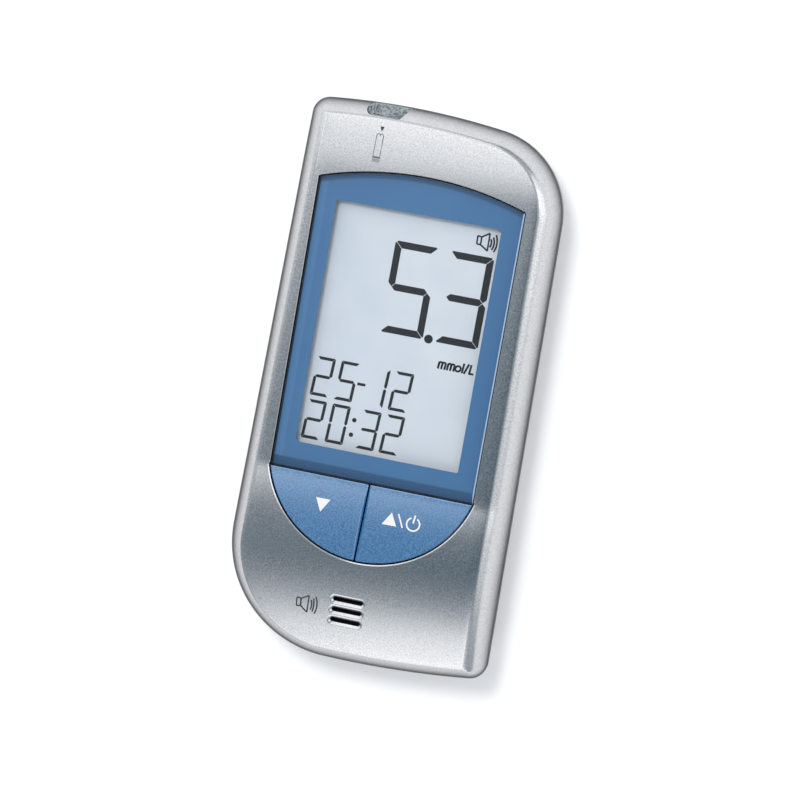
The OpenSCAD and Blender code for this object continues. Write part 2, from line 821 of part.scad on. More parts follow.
module circuit_board() {
    color("#2f6b4f")
        translate([0, 0, board_bottom])
            linear_extrude(board_t)
                difference() {
                    intersection() {
                        translate([-board_w / 2, board_bottom_y])
                            square([board_w, board_top_y - SEAT - board_bottom_y]);
                        polygon(outline(wall + 0.6));
                    }
                    for (p = case_screw_places) {
                        translate(p) circle(d = post_d + 0.8);
                        translate(p + 2.5 * [sign(p.x), sign(p.y)]) square(5, center = true);
                    }
                    at_each(board_screw_places) circle(d = board_screw_d + 4 * FIT);
                }
}

// A square chip with leads on two opposite sides, under the board
module chip(x, y, w, l, h, leads) {
    lead_w = 0.4;
    pitch = l / leads;
    translate([x, y, board_bottom - h]) {
        translate([-w / 2, -l / 2, 0]) cube([w, l, h - 0.1]);
        for (side = [-1, 1], i = [0:leads - 1])
            translate([side > 0 ? w / 2 - EPS : -w / 2 - 0.9 + EPS,
                       (i - (leads - 1) / 2) * pitch - lead_w / 2, h - 0.5])
                cube([0.9, lead_w, 0.5]);
    }
}

module processor() {
    color("#232427") chip(3, fold_y + 40, 10, 10, 1.3, 8);
}

module voice_chip() {
    color("#232427") chip(-12, fold_y + 36, 4.4, 8.6, 1.5, 7);
}

module crystal() {
    color("#cfd2d4")
        translate([14, fold_y + 30, board_bottom - 1.6])
            linear_extrude(1.6)
                hull() {
                    translate([0, -2.5]) circle(d = 3);
                    translate([0, 2.5]) circle(d = 3);
                }
}

module capacitors() {
    color("#b58b52")
        for (p = [[-4, 28], [-4, 31], [12, 37], [12, 40], [-14, 24]])
            translate([p.x - 1, fold_y + p.y - 0.6, board_bottom - 0.8]) cube([2, 1.2, 0.8]);
}

// ---- strip port ----

module strip_guide() {
    color("#8b9296")
        difference() {
            intersection() {
                union() {
                    guide_back();
                    port_notch();
                }
                front_form();
            }
            intersection() {
                port_notch();
                over_ramp();
            }
            translate([port_x - slot_w / 2, board_top_y - 1, slot_z])
                cube([slot_w, notch_l + 5, slot_h]);
        }
}

connector_l = 7;
connector_w = slot_w + 3;
connector_h = 2.8;
contact_count = 4;
contact_pitch = 1.5;

module strip_connector() {
    color("#1f2022")
        difference() {
            translate([port_x - connector_w / 2, board_top_y - SEAT - connector_l, board_z])
                cube([connector_w, connector_l, connector_h]);
            // mouth and channel of the strip
            translate([port_x - slot_w / 2, board_top_y - connector_l + 0.8, slot_z])
                cube([slot_w, connector_l, slot_h]);
            // slots over the contacts
            for (i = [0:contact_count - 1])
                translate([port_x + (i - (contact_count - 1) / 2) * contact_pitch - 0.35,
                           board_top_y - connector_l + 1.5, slot_z + slot_h - EPS])
                    cube([0.7, 4, connector_h]);
        }
}

module strip_contacts() {
    arm = 3.6;
    spring_t = 0.2;
    color("#d2b25c")
        for (i = [0:contact_count - 1])
            translate([port_x + (i - (contact_count - 1) / 2) * contact_pitch - 0.2,
                       board_top_y - connector_l + 1.7, slot_z + slot_h])
                rotate([90, 0, 90])
                    linear_extrude(0.4)
                        polygon([[0, 0.9], [arm - 1, -0.45], [arm, 0], [arm - 0.1, 0.2],
                                 [arm - 1, -0.45 + spring_t], [0.1, 1.1]]);
}

// ---- speaker ----

basket_z = speaker_z - speaker_h;
magnet_d = 9;
magnet_h = 1.3;

module on_speaker(z) {
    translate([speaker_x, speaker_y, z]) children();
}

module speaker_basket() {
    rim = 1.0;
    color("#8f9599")
        on_speaker(basket_z) {
            difference() {
                cylinder(d = speaker_d, h = speaker_h);
                translate([0, 0, 0.5]) cylinder(d = speaker_d - 2 * rim, h = speaker_h);
            }
            // terminal tab
            translate([-3, speaker_d / 2 - 2, board_bottom - basket_z])
                cube([6, 1.9, basket_z - board_bottom + EPS]);
        }
}

module speaker_cone() {
    color("#3c3f43")
        on_speaker(0)
            rotate_extrude()
                polygon([[0, basket_z + 0.9], [2.6, basket_z + 0.9], [speaker_d / 2 - 1.2, speaker_z - 0.4],
                         [speaker_d / 2 - 1.05, speaker_z - 0.4], [speaker_d / 2 - 1.05, speaker_z - 0.2],
                         [speaker_d / 2 - 1.4, speaker_z - 0.2], [2.5, basket_z + 1.1], [0, basket_z + 1.1]]);
}

module speaker_magnet() {
    color("#6f7478")
        on_speaker(basket_z - magnet_h) cylinder(d = magnet_d, h = magnet_h);
}

module speaker_gasket() {
    color("#2b2d30")
        on_speaker(speaker_z)
            difference() {
                cylinder(d = speaker_d - 0.2, h = 0.4);
                translate([0, 0, -1]) cylinder(d = speaker_d - 2.4, h = 3);
            }
}

// Two leads that loop from the speaker's tab to the underside of the board
module speaker_leads() {
    lead_d = 0.6;
    from_y = speaker_y + speaker_d / 2 - 0.7;
    to_y = board_bottom_y + 0.8;
    loop_r = (to_y - from_y) / 2;
    color("#8a2f2c")
        for (side = [-1, 1])
            translate([speaker_x + side * 1.6, (from_y + to_y) / 2, board_bottom])
                rotate([90, 0, 90])
                    rotate_extrude(angle = 180, start = 180)
                        translate([loop_r, 0]) circle(d = lead_d, $fn = 16);
}

// ---- screws ----

module cross_recess(size, depth) {
    translate([-size / 2, -0.25, -1]) cube([size, 0.5, depth + 1]);
    translate([-0.25, -size / 2, -1]) cube([0.5, size, depth + 1]);
}

module case_screws() {
    head_h = 1.5;
    color("#b7bbbf")
        at_each(case_screw_places)
            translate([0, 0, case_seat_z - head_h])
                difference() {
                    union() {
                        cylinder(d = case_head_d, h = head_h);
                        cylinder(d = case_screw_d, h = head_h + case_screw_l);
                    }
                    cross_recess(2.4, 0.8);
                }
}

module board_screws() {
    head_h = 0.9;
    color("#b7bbbf")
        at_each(board_screw_places)
            translate([0, 0, board_bottom - head_h])
                difference() {
                    union() {
                        cylinder(d = 2.2, h = head_h);
                        cylinder(d = board_screw_d, h = head_h + board_t + 2.4);
                    }
                    cross_recess(1.5, 0.5);
                }
}

front_cover();
rear_cover();
battery_door();
display_lens();
display_border();
display_gasket();
lcd_front_glass();
lcd_rear_glass();
lcd_reflector();
lcd_frame();
zebra_strip();
key(-1);  // key_down
key(1);  // key_power
switch_bodies();
switch_stem(-1);  // switch_stem_down
switch_stem(1);  // switch_stem_power
circuit_board();
processor();
voice_chip();
crystal();
capacitors();
strip_guide();
strip_connector();
strip_contacts();
speaker_basket();
speaker_cone();
speaker_magnet();
speaker_gasket();
speaker_leads();
cell(cell_ys[1]);  // upper_cell
cell(cell_ys[0]);  // lower_cell
negative_contacts();
positive_contacts();
case_screws();
board_screws();
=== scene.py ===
"""Looks of a hand-held blood glucose meter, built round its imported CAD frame.

A form is made in millimetres, cut and joined there, and becomes a piece in metres at the end.
"""
from math import acos, asin, atan2, ceil, cos, pi, radians, sin, sqrt, tan

import bpy
from mathutils import Matrix, Vector
from mathutils.bvhtree import BVHTree
from mathutils.geometry import delaunay_2d_cdt
from mathutils.interpolate import poly_3d_calc


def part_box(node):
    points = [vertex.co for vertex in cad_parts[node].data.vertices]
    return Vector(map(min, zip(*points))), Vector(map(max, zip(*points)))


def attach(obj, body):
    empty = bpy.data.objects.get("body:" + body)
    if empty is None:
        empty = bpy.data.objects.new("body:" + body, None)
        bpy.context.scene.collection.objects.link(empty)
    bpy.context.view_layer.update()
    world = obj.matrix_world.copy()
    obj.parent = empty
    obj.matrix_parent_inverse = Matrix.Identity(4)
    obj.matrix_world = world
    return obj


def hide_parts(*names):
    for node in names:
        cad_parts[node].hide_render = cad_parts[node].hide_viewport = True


MM = 0.001
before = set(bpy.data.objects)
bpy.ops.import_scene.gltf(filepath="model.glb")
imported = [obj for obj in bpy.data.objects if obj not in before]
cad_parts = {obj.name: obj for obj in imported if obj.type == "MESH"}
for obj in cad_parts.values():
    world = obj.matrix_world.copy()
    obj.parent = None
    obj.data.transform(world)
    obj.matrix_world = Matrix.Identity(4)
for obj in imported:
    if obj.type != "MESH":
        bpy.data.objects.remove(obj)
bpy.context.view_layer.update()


def mm_box(node):
    """Lowest and highest corner of a CAD node in millimetres."""
    low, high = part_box(node)
    return low / MM, high / MM


# ---- sizes taken from the frame ----

LENS_LOW, LENS_HIGH = mm_box("display_lens")
FILM_LOW, FILM_HIGH = mm_box("display_border")
GLASS_LOW, GLASS_HIGH = mm_box("lcd_front_glass")
GUIDE_LOW, GUIDE_HIGH = mm_box("strip_guide")
GASKET_LOW, GASKET_HIGH = mm_box("speaker_gasket")
KEY_LOW = mm_box("key_down")[0]
DOOR_HIGH = mm_box("battery_door")[1]
CONTACTS_LOW = mm_box("negative_contacts")[0]
SPLIT_Z = mm_box("front_cover")[0].z

TOP_Y = 51.5  # strip-port end of the meter
BOTTOM_Y = -51.5  # battery-door end
FACE_Z = LENS_HIGH.z
FOLD_Y = LENS_LOW.y
FACE_X = (LENS_HIGH.x + LENS_LOW.x) / 2  # middle of the lens and the keys
LENS_HALF = (LENS_HIGH.x - LENS_LOW.x) / 2
LENS_RISE = 3.0  # height of the arc of the lens's top edge
LENS_ARC = (LENS_HALF ** 2 + LENS_RISE ** 2) / (2 * LENS_RISE)

# ---- sizes of the covers ----

SOFT_FOLD = 1.5  # reach of the soft shading on either side of the fold
WALL = 1.8
ROOF = 2.0
FLOOR = 2.0
HALF_W = {-1: 24.9, 1: 25.2}  # from the middle to each side, half-way along
LEAN = {-1: radians(1.25), 1: radians(0.8)}  # wider towards the bottom end
END_RADIUS = {1: 142.0, -1: 178.0}
END_CENTRE = {end: Vector((x, end * (TOP_Y - END_RADIUS[end]))) for end, x in ((1, -7.4), (-1, -0.7))}
CORNER_RADIUS = {(-1, 1): 3.2, (1, 1): 15.6, (-1, -1): 21.5, (1, -1): 3.2}
LEAST_CORNER = 0.5
EDGE_REACH = 6.1  # inward reach of the rounded front edge
END_SHARE = 0.78  # its reach at the ends over that at the sides
FRONT_SHARE = 1.083  # height of the ellipse of the front edge, over the cover's
BACK_REACH = 6.0  # inward reach of the rounded back edge
BACK_POWER = 2.4  # its roundness, of which 2 is an ellipse
CROWN_Y = TOP_Y - 13.5  # the face falls beyond this
CROWN_RADIUS = 55.0
HUMP_RADIUS = 100.0  # below the fold
FOLD_RISE = radians(6)
HUMP_Y = FOLD_Y - HUMP_RADIUS * sin(FOLD_RISE)
WIDE = 25  # half the width of a cutter that goes past both sides
OVERLAP = 0.02  # by which a cutter goes past a face that it has to open


def face_at(y):
    """Height of the front face."""
    if y > CROWN_Y:
        return FACE_Z + sqrt(CROWN_RADIUS ** 2 - (y - CROWN_Y) ** 2) - CROWN_RADIUS
    if y < FOLD_Y:
        return (FACE_Z + sqrt(HUMP_RADIUS ** 2 - (y - HUMP_Y) ** 2)
                - HUMP_RADIUS * cos(FOLD_RISE))
    return FACE_Z


def on_fold(point):
    return abs(point.y - FOLD_Y) < 1e-4


# ---- outline of the meter ----

def plan(*places):
    """Plan points at places, each an x and a y."""
    return [Vector(place) for place in places]


# Of each long side: a point on it, and the directions inward and up along it
SIDES = {side: plan((side * HALF_W[side], 0), (-side * cos(LEAN[side]), -sin(LEAN[side])),
                    (-side * sin(LEAN[side]), cos(LEAN[side]))) for side in (-1, 1)}


def corner_radius(side, end, inset):
    return max(LEAST_CORNER, CORNER_RADIUS[side, end] - inset)


def corner_centre(side, end, inset, end_inset):
    """Centre of the corner arc that touches a side moved in by inset and an end by end_inset."""
    point, inward, up = SIDES[side]
    radius = corner_radius(side, end, inset)
    start = point + (inset + radius) * inward
    away = start - END_CENTRE[end]
    along = away.dot(up)
    room = along * along - away.length_squared + (END_RADIUS[end] - end_inset - radius) ** 2
    return start + (end * sqrt(room) - along) * up


def arc(centre, radius, start, stop, count):
    angles = [start + (stop - start) * i / count for i in range(count + 1)]
    return plan(*((centre[0] + radius * cos(a), centre[1] + radius * sin(a)) for a in angles))


def between(start, stop, count):
    return [start.lerp(stop, i / count) for i in range(1, count)]


def side_points(side, inset, start, stop, count):
    """Points inside a long side, with one exactly on the fold and some close beside it."""
    point, inward, up = SIDES[side]
    origin = point + inset * inward
    bend = origin + up * ((FOLD_Y - origin.y) / up.y)
    along = (stop - start).normalized() * SOFT_FOLD / 3
    near = [bend + along * step for step in range(-3, 4)]
    return between(start, near[0], count) + near + between(near[-1], stop, count)


def outline(inset, end_inset=None, fine=4):
    """Outline of the meter, counter-clockwise from the top right corner.

    Its sides are moved in by inset, and its ends by end_inset, or by inset where that isn't given.
    """
    end_inset = inset if end_inset is None else end_inset
    right, left = LEAN[1], pi - LEAN[-1]
    centres = {key: corner_centre(*key, inset, end_inset) for key in CORNER_RADIUS}

    def corner(side, end, start, stop, steps):
        return arc(centres[side, end], corner_radius(side, end, inset), start, stop, steps * fine)

    def angle(side, end):
        v = centres[side, end] - END_CENTRE[end]
        return atan2(v.y, v.x) % (2 * pi)

    def end_arc(end, first):
        return arc(END_CENTRE[end], END_RADIUS[end] - end_inset, angle(first, end),
                   angle(-first, end), 5 * fine)[1:-1]

    top_right = corner(1, 1, right, angle(1, 1), 9)
    top_left = corner(-1, 1, angle(-1, 1), left, 3)
    low_left = corner(-1, -1, left, angle(-1, -1), 9)
    low_right = corner(1, -1, angle(1, -1), 2 * pi + right, 3)
    return (top_right + end_arc(1, 1) + top_left
            + side_points(-1, inset, top_left[-1], low_left[0], 5 * fine)
            + low_left + end_arc(-1, -1) + low_right
            + side_points(1, inset, low_right[-1], top_right[0], 5 * fine))


# ---- mesh forms in millimetres ----

def scene_object(name, data):
    obj = bpy.data.objects.new(name, data)
    bpy.context.scene.collection.objects.link(obj)
    return obj


def form(verts, faces):
    mesh = bpy.data.meshes.new("form")
    mesh.from_pydata(verts, [], faces)
    return scene_object("form", mesh)


def rows_of(rings):
    """Side faces between rings of equal length, from the lowest to the highest."""
    n = len(rings[0])
    return [(k * n + i, k * n + (i + 1) % n, (k + 1) * n + (i + 1) % n, (k + 1) * n + i)
            for k in range(len(rings) - 1) for i in range(n)]


def loft(rings):
    """A closed form through rings, with a flat or nearly flat cap at each end."""
    n, top = len(rings[0]), len(rings) - 1
    faces = rows_of(rings) + [tuple(reversed(range(n))), tuple(range(top * n, (top + 1) * n))]
    return form([p for ring in rings for p in ring], faces)


def at_height(points, height):
    """Plan points at a height, which is a number or a function of y."""
    z = height if callable(height) else lambda y: height
    return [Vector((p.x, p.y, z(p.y))) for p in points]


def stacked(*levels):
    """A closed form through levels, each an outline and its height."""
    return loft([at_height(points, height) for points, height in levels])


def prism(points, low, high):
    return stacked((points, low), (points, high))


def by_face(points, out, down):
    """A level moved out by one distance, and down from the face by another."""
    return grown(points, out), lambda y: face_at(y) - down


def inside(point, ring):
    """Whether a plan point is inside a closed outline."""
    hit = False
    for a, b in zip(ring, ring[1:] + ring[:1]):
        crosses = (a.y > point.y) != (b.y > point.y)
        if crosses and point.x < a.x + (point.y - a.y) * (b.x - a.x) / (b.y - a.y):
            hit = not hit
    return hit


GRID = 1.5  # spacing of the points on the face
GRID_COLUMNS = 17  # of them on each side of the middle
GRID_MARGIN = 0.6  # least distance from the edge of the face


def face_fill(ring, height):
    """Points and triangles that close a ring with the surface of the face."""
    low = min(p.y for p in ring)
    high = max(p.y for p in ring)
    rows = list(range(ceil((low - FOLD_Y) / GRID), int((high - FOLD_Y) // GRID) + 1))
    rows += [step * SOFT_FOLD / 3 / GRID for step in (-2, -1, 1, 2)]
    margin = grown(ring, -GRID_MARGIN)
    columns = range(-GRID_COLUMNS, GRID_COLUMNS + 1)
    places = [Vector((column * GRID, FOLD_Y + row * GRID)) for row in rows for column in columns]
    points = list(ring) + [p for p in places if inside(p, margin)]
    n = len(ring)
    edges = [(i, (i + 1) % n) for i in range(n)]
    fold = sorted((i for i in range(n) if on_fold(ring[i])), key=lambda i: ring[i].x)
    edges.append((fold[0], fold[-1]))
    faces, sources = delaunay_2d_cdt(points, edges, [], 1, 1e-7, True)[2:4]
    triangles = [[sources[i][0] for i in face] for face in faces]
    # A sliver outside the ring has its corners in the opposite order to the ring's
    kept = [(a, b, c) for a, b, c in triangles if max(a, b, c) >= n or (b - a) % n < (c - a) % n]
    return at_height(points, height), kept


def grown(points, distance):
    """A closed counter-clockwise outline moved out by distance, with mitred corners."""
    result = []
    count = len(points)
    for i, p in enumerate(points):
        before = (p - points[i - 1]).normalized()
        after = (points[(i + 1) % count] - p).normalized()
        normal = Vector((before.y + after.y, -before.x - after.x)).normalized()
        share = max(0.3, normal.dot(Vector((after.y, -after.x))))
        result.append(p + normal * (distance / share))
    return result


def rounded(points, radii, count=6):
    """A closed outline with some corners rounded; radii maps a point's index to its radius."""
    result = []
    for i, p in enumerate(points):
        if i not in radii:
            result.append(p)
            continue
        before = (points[i - 1] - p).normalized()
        after = (points[(i + 1) % len(points)] - p).normalized()
        half = before.angle(after) / 2
        centre = p + (before + after).normalized() * (radii[i] / sin(half))
        start = p + before * (radii[i] / tan(half))
        stop = p + after * (radii[i] / tan(half))
        a0 = atan2(*reversed(start - centre))
        a1 = atan2(*reversed(stop - centre))
        a1 += 2 * pi * round((a0 - a1) / (2 * pi))
        result += arc(centre, radii[i], a0, a1, count)
    return result


def rectangle(x0, y0, x1, y1):
    return plan((x0, y0), (x1, y0), (x1, y1), (x0, y1))


def disc(x, y, radius, count=20):
    return arc((x, y), radius, 0, 2 * pi, count)[:-1]


def box_form(x0, y0, z0, x1, y1, z1):
    return prism(rectangle(x0, y0, x1, y1), z0, z1)


def rod_form(x, y, radius, z0, z1, count=48):
    return prism(disc(x, y, radius, count), z0, z1)


def combine(operation, target, *others):
    """Changes the first form by the others, which are used up."""
    for other in others:
        modifier = target.modifiers.new("combine", "BOOLEAN")
        modifier.operation = operation
        modifier.solver = "MANIFOLD"
        modifier.object = other
        graph = bpy.context.evaluated_depsgraph_get()
        mesh = bpy.data.meshes.new_from_object(target.evaluated_get(graph))
        target.modifiers.clear()
        target.data = mesh
        bpy.data.objects.remove(other)
    return target


def cut(*forms):
    return combine("DIFFERENCE", *forms)


def join(*forms):
    return combine("UNION", *forms)


def common(*forms):
    return combine("INTERSECT", *forms)


# ---- outer surfaces of the two covers ----

ROLL_END = 0.975  # share of the height at which the crease starts to round
CREASE = 0.36  # width of the rounding on the face side of the crease
# Half of the groove along the joint of the covers: (inset, distance from the joint)
GROOVE = ((0.36, 0.0), (0.36, 0.1), (0.1, 0.12), (0.03, 0.16), (0.005, 0.24))


def front_profile(steps, crease_steps):
    """(inset, share of the height) from the joint groove up the rounded edge and over the crease."""
    last = asin(ROLL_END / FRONT_SHARE)
    roll = [(EDGE_REACH * (1 - cos(last * i / steps)), FRONT_SHARE * sin(last * i / steps))
            for i in range(1, steps + 1)]
    groove = [(inset, up / (FACE_Z - SPLIT_Z)) for inset, up in GROOVE]
    start = Vector(roll[-1])
    bend = Vector((EDGE_REACH * (1 - sqrt(1 - (1 / FRONT_SHARE) ** 2)), 1))
    stop = bend + Vector((CREASE, 0))
    shares = [i / crease_steps for i in range(1, crease_steps + 1)]
    return groove + roll + [tuple(start.lerp(bend, s).lerp(bend.lerp(stop, s), s)) for s in shares]


def front_form(inset=0.0, drop=0.0, base=SPLIT_Z, fine=4):
    """The front cover's outer form, moved in by inset and down by drop."""
    rings = []
    for step_in, share in front_profile(22, 6) if fine > 1 else front_profile(8, 2):
        edge = outline(step_in + inset, END_SHARE * step_in + inset, fine)
        rings.append(at_height(edge, lambda y: base + share * (face_at(y) - drop - base)))
    n, last = len(rings[0]), len(rings) - 1
    face_points, triangles = face_fill([p.xy for p in rings[-1]], lambda y: face_at(y) - drop)
    verts = [p for ring in rings for p in ring] + face_points[n:]
    faces = rows_of(rings) + [tuple(reversed(range(n)))]
    return form(verts, faces + [tuple(last * n + i for i in t) for t in triangles])


def rear_form(inset=0.0, floor=0.0, top=SPLIT_Z, fine=4, steps=20):
    """The rear cover's outer form, moved in by inset, from floor to top."""
    rings = []
    for i in range(steps):
        angle = pi / 2 * (1 - i / steps)
        share = sin(angle) ** (2 / BACK_POWER)
        step_in = BACK_REACH * (1 - cos(angle) ** (2 / BACK_POWER))
        rings.append(at_height(outline(step_in + inset, fine=fine), top - share * (top - floor)))
    for step_in, down in reversed(GROOVE):
        rings.append(at_height(outline(step_in + inset, fine=fine), top - down))
    return loft(rings)


def shade_smooth(obj, sharp_degrees=30):
    """Smooth shading, except along edges where the form turns by more than sharp_degrees."""
    obj.data.set_sharp_from_angle(angle=radians(sharp_degrees))
    for face in obj.data.polygons:
        face.use_smooth = True


class Surface:
    """A finely made outer surface, whose smooth normals are given to what is cut from it."""

    def __init__(self, obj):
        shade_smooth(obj, 40)
        mesh = obj.data
        for edge in mesh.edges:
            if all(on_fold(mesh.vertices[v].co) for v in edge.vertices):
                edge.use_edge_sharp = True
        self.points = [v.co.copy() for v in mesh.vertices]
        self.faces = [tuple(p.vertices) for p in mesh.polygons]
        self.normals = [[mesh.corner_normals[i].vector.copy() for i in p.loop_indices]
                        for p in mesh.polygons]
        self.tree = BVHTree.FromPolygons(self.points, self.faces)
        bpy.data.objects.remove(obj)

    def holds(self, centre, normal):
        """Whether a face lies on the surface."""
        _, own, _, distance = self.tree.find_nearest(centre)
        return distance < 0.004 and abs(own.dot(normal)) > 0.97

    def normal_at(self, place):
        """The normal at a place; across the fold it turns gradually, as on a rounded valley."""
        share = (place.y - FOLD_Y + SOFT_FOLD) / (2 * SOFT_FOLD)
        if not 0 < share < 1:
            return self.own_normal_at(place)
        below, above = (self.own_normal_at(Vector((place.x, FOLD_Y + reach, place.z)))
                        for reach in (-SOFT_FOLD, SOFT_FOLD))
        return below.lerp(above, share * share * (3 - 2 * share)).normalized()

    def own_normal_at(self, place):
        spot, flat, index, _ = self.tree.find_nearest(place)
        corners = self.faces[index]
        if len(corners) > 4:
            return flat
        weights = poly_3d_calc([self.points[i] for i in corners], spot)
        return sum((n * w for n, w in zip(self.normals[index], weights)), Vector()).normalized()


def finish_normals(obj, surface, is_bare=lambda place: False):
    """Gives a form the normals of the outer surface, and its second material to bare faces off it."""
    mesh = obj.data
    mesh.validate()
    shade_smooth(obj, 28)
    normals = [c.vector.copy() for c in mesh.corner_normals]
    for face in mesh.polygons:
        centre = face.center
        if not surface.holds(centre, face.normal):
            face.material_index = int(is_bare(centre))
            continue
        for loop in face.loop_indices:
            corner = mesh.vertices[mesh.loops[loop].vertex_index].co
            normals[loop] = surface.normal_at(corner.lerp(centre, 0.02))
    mesh.normals_split_custom_set(normals)


# ---- pieces ----

def piece(obj, name, materials, node=None, body="housing"):
    """Turns a form in millimetres into a piece in metres that rides on a body."""
    obj.name = name
    obj.data.name = name
    obj.data.transform(Matrix.Scale(MM, 4))
    indices = [face.material_index for face in obj.data.polygons]
    obj.data.materials.clear()  # this also sets every index to 0
    for material in materials:
        obj.data.materials.append(material)
    for face, index in zip(obj.data.polygons, indices):
        face.material_index = min(index, len(materials) - 1)
    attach(obj, body)
    if node:
        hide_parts(node)


# ---- materials ----

def srgb(*values):
    """A colour written as it shows on a screen, as the linear values that shaders take."""
    shares = [value / 255 for value in values]
    return (*(v / 12.92 if v <= 0.04045 else ((v + 0.055) / 1.055) ** 2.4 for v in shares), 1.0)


def mixed(color, other, share):
    return tuple(a + (b - a) * share for a, b in zip(color, other))


NO_COLOR = (0, 0, 0, 1)
WHITE_LIGHT = (1, 1, 1, 1)


class Nodes:
    """Builds the node tree of a material, or of the world."""

    def __init__(self, name, world=False):
        self.owner = (bpy.data.worlds if world else bpy.data.materials).new(name)
        self.owner.use_nodes = True
        self.tree = self.owner.node_tree
        self.tree.nodes.clear()
        self.output = self.add("OutputWorld" if world else "OutputMaterial")
        self.coordinates = self.add("TexCoord").outputs["Generated" if world else "Object"]

    def add(self, kind, settings=None, values=(), **inputs):
        """Adds a shader node, with its inputs given in values, in order, or by their names."""
        node = self.tree.nodes.new("ShaderNode" + kind)
        for key, value in (settings or {}).items():
            setattr(node, key, value)
        for index, value in enumerate(values):
            self.put(node.inputs[index], value)
        for key, value in inputs.items():
            self.put(node.inputs[key.replace("_", " ")], value)
        return node

    def put(self, socket, value):
        """Sets an input, or links it to a socket or to the first output of a node."""
        if isinstance(value, bpy.types.Node):
            value = value.outputs[0]
        if isinstance(value, bpy.types.NodeSocket):
            self.tree.links.new(value, socket)
        else:
            socket.default_value = value

    def math(self, operation, first, second, kind="Math", result=0):
        return self.add(kind, {"operation": operation}, (first, second)).outputs[result]

    def vector_math(self, operation, first, second):
        return self.math(operation, first, second, "VectorMath", "Value")

    def noise(self, millimetres, detail=2.0, roughness=0.5):
        """Noise whose features are about the given size."""
        return self.add("TexNoise", Vector=self.coordinates, Scale=1 / (millimetres * MM),
                        Detail=detail, Roughness=roughness)

    def ramp(self, value, low, high, out_low, out_high, kind="SMOOTHSTEP"):
        values = value, low, high, out_low, out_high
        return self.add("MapRange", {"interpolation_type": kind}, values)

    def vary(self, noise, low, high):
        """A value from low to high that follows a noise, which is mostly between 0.3 and 0.7."""
        return self.ramp(noise, 0.3, 0.7, low, high)

    def blend(self, share, first, second):
        node = self.add("Mix", {"data_type": "RGBA"})
        for index, value in ((0, share), (6, first), (7, second)):
            self.put(node.inputs[index], value)
        return node.outputs[2]

    def bump(self, height, strength, millimetres):
        return self.add("Bump", Height=height, Strength=strength, Distance=millimetres * MM)

    def axis(self, letter):
        return self.add("SeparateXYZ", Vector=self.coordinates).outputs[letter]

    def mix_shader(self, share, first, second):
        return self.add("MixShader", None, (share, first, second))

    def add_shader(self, first, second):
        return self.add("AddShader", None, (first, second))

    def finish(self, shader):
        self.put(self.output.inputs["Surface"], shader)
        return self.owner

    def principled(self, color, roughness, normal, **inputs):
        return self.finish(self.add("BsdfPrincipled", Base_Color=color, Roughness=roughness,
                                    Normal=normal, **inputs))


def metallic_paint(name, color, dark, metallic, roughness, tint, ior=1.45, grain=0.32):
    """Paint with fine flakes: grain in its colour, its gloss and its surface.

    The tint is the specular tint: of metallic paint where it is seen at a flat angle, and of the
    gloss of other paint.
    """
    n = Nodes(name)
    coarse = n.noise(0.27, 3.0, 0.7)
    flakes = n.blend(n.ramp(coarse, 0.5 - grain / 2, 0.5 + grain / 2, 0, 1, "LINEAR"), dark, color)
    clouded = n.blend(n.vary(n.noise(9.0), 0, 0.25), flakes, mixed(color, dark, 0.5))
    gloss = n.ramp(coarse, 0.2, 0.8, roughness - 0.04, roughness + 0.04)
    return n.principled(clouded, gloss, n.bump(n.noise(0.16, 1.0), 0.12, 0.02),
                        Metallic=metallic, Specular_Tint=tint, IOR=ior)


def plastic(name, color, roughness=0.5, grain=0.12, size=0.25):
    """Moulded plastic with a fine sparked texture."""
    n = Nodes(name)
    texture = n.noise(size)
    shade = n.blend(n.vary(n.noise(4.0), 0, 1), color, mixed(color, NO_COLOR, 0.12))
    gloss = n.vary(texture, roughness - 0.06, roughness + 0.06)
    return n.principled(shade, gloss, n.bump(texture, grain, 0.03))


def mottled_plastic(name, dark, light):
    """Rough moulded plastic with lighter and darker specks."""
    n = Nodes(name)
    specks = n.ramp(n.noise(0.38, 3.0, 0.6), 0.36, 0.64, 0, 1)
    return n.principled(n.blend(specks, dark, light), 0.65, n.bump(n.noise(0.2), 0.5, 0.03))


def metal(name, color, roughness, stretch=(1, 1, 1)):
    """Metal with a fine grain, drawn out along an axis where stretch says so."""
    n = Nodes(name)
    mapping = n.add("Mapping", Vector=n.coordinates, Scale=stretch)
    grain = n.add("TexNoise", Vector=mapping, Scale=2500.0, Detail=2.0)
    tint = n.blend(n.vary(grain, 0, 1), color, mixed(color, NO_COLOR, 0.15))
    gloss = n.vary(grain, roughness - 0.06, roughness + 0.08)
    return n.principled(tint, gloss, n.bump(grain, 0.08, 0.01), Metallic=1.0)


def clear_lens():
    """Clear acrylic that lets the lamps through to what is printed and shown under it."""
    n = Nodes("clear_lens")
    clear = n.add("BsdfTransparent", Color=(0.985, 0.99, 0.995, 1))
    gloss = n.add("BsdfGlossy", Color=WHITE_LIGHT, Roughness=n.vary(n.noise(3.0), 0.04, 0.07))
    fresnel = n.add("Fresnel", IOR=1.45)
    # Only the outside mirrors: a ray inside would meet the other face too flat and be sent back
    inside_face = n.add("NewGeometry").outputs["Backfacing"]
    share = n.math("MULTIPLY", fresnel, n.ramp(inside_face, 0, 1, 1, 0, "LINEAR"))
    return n.finish(n.mix_shader(share, clear, gloss))


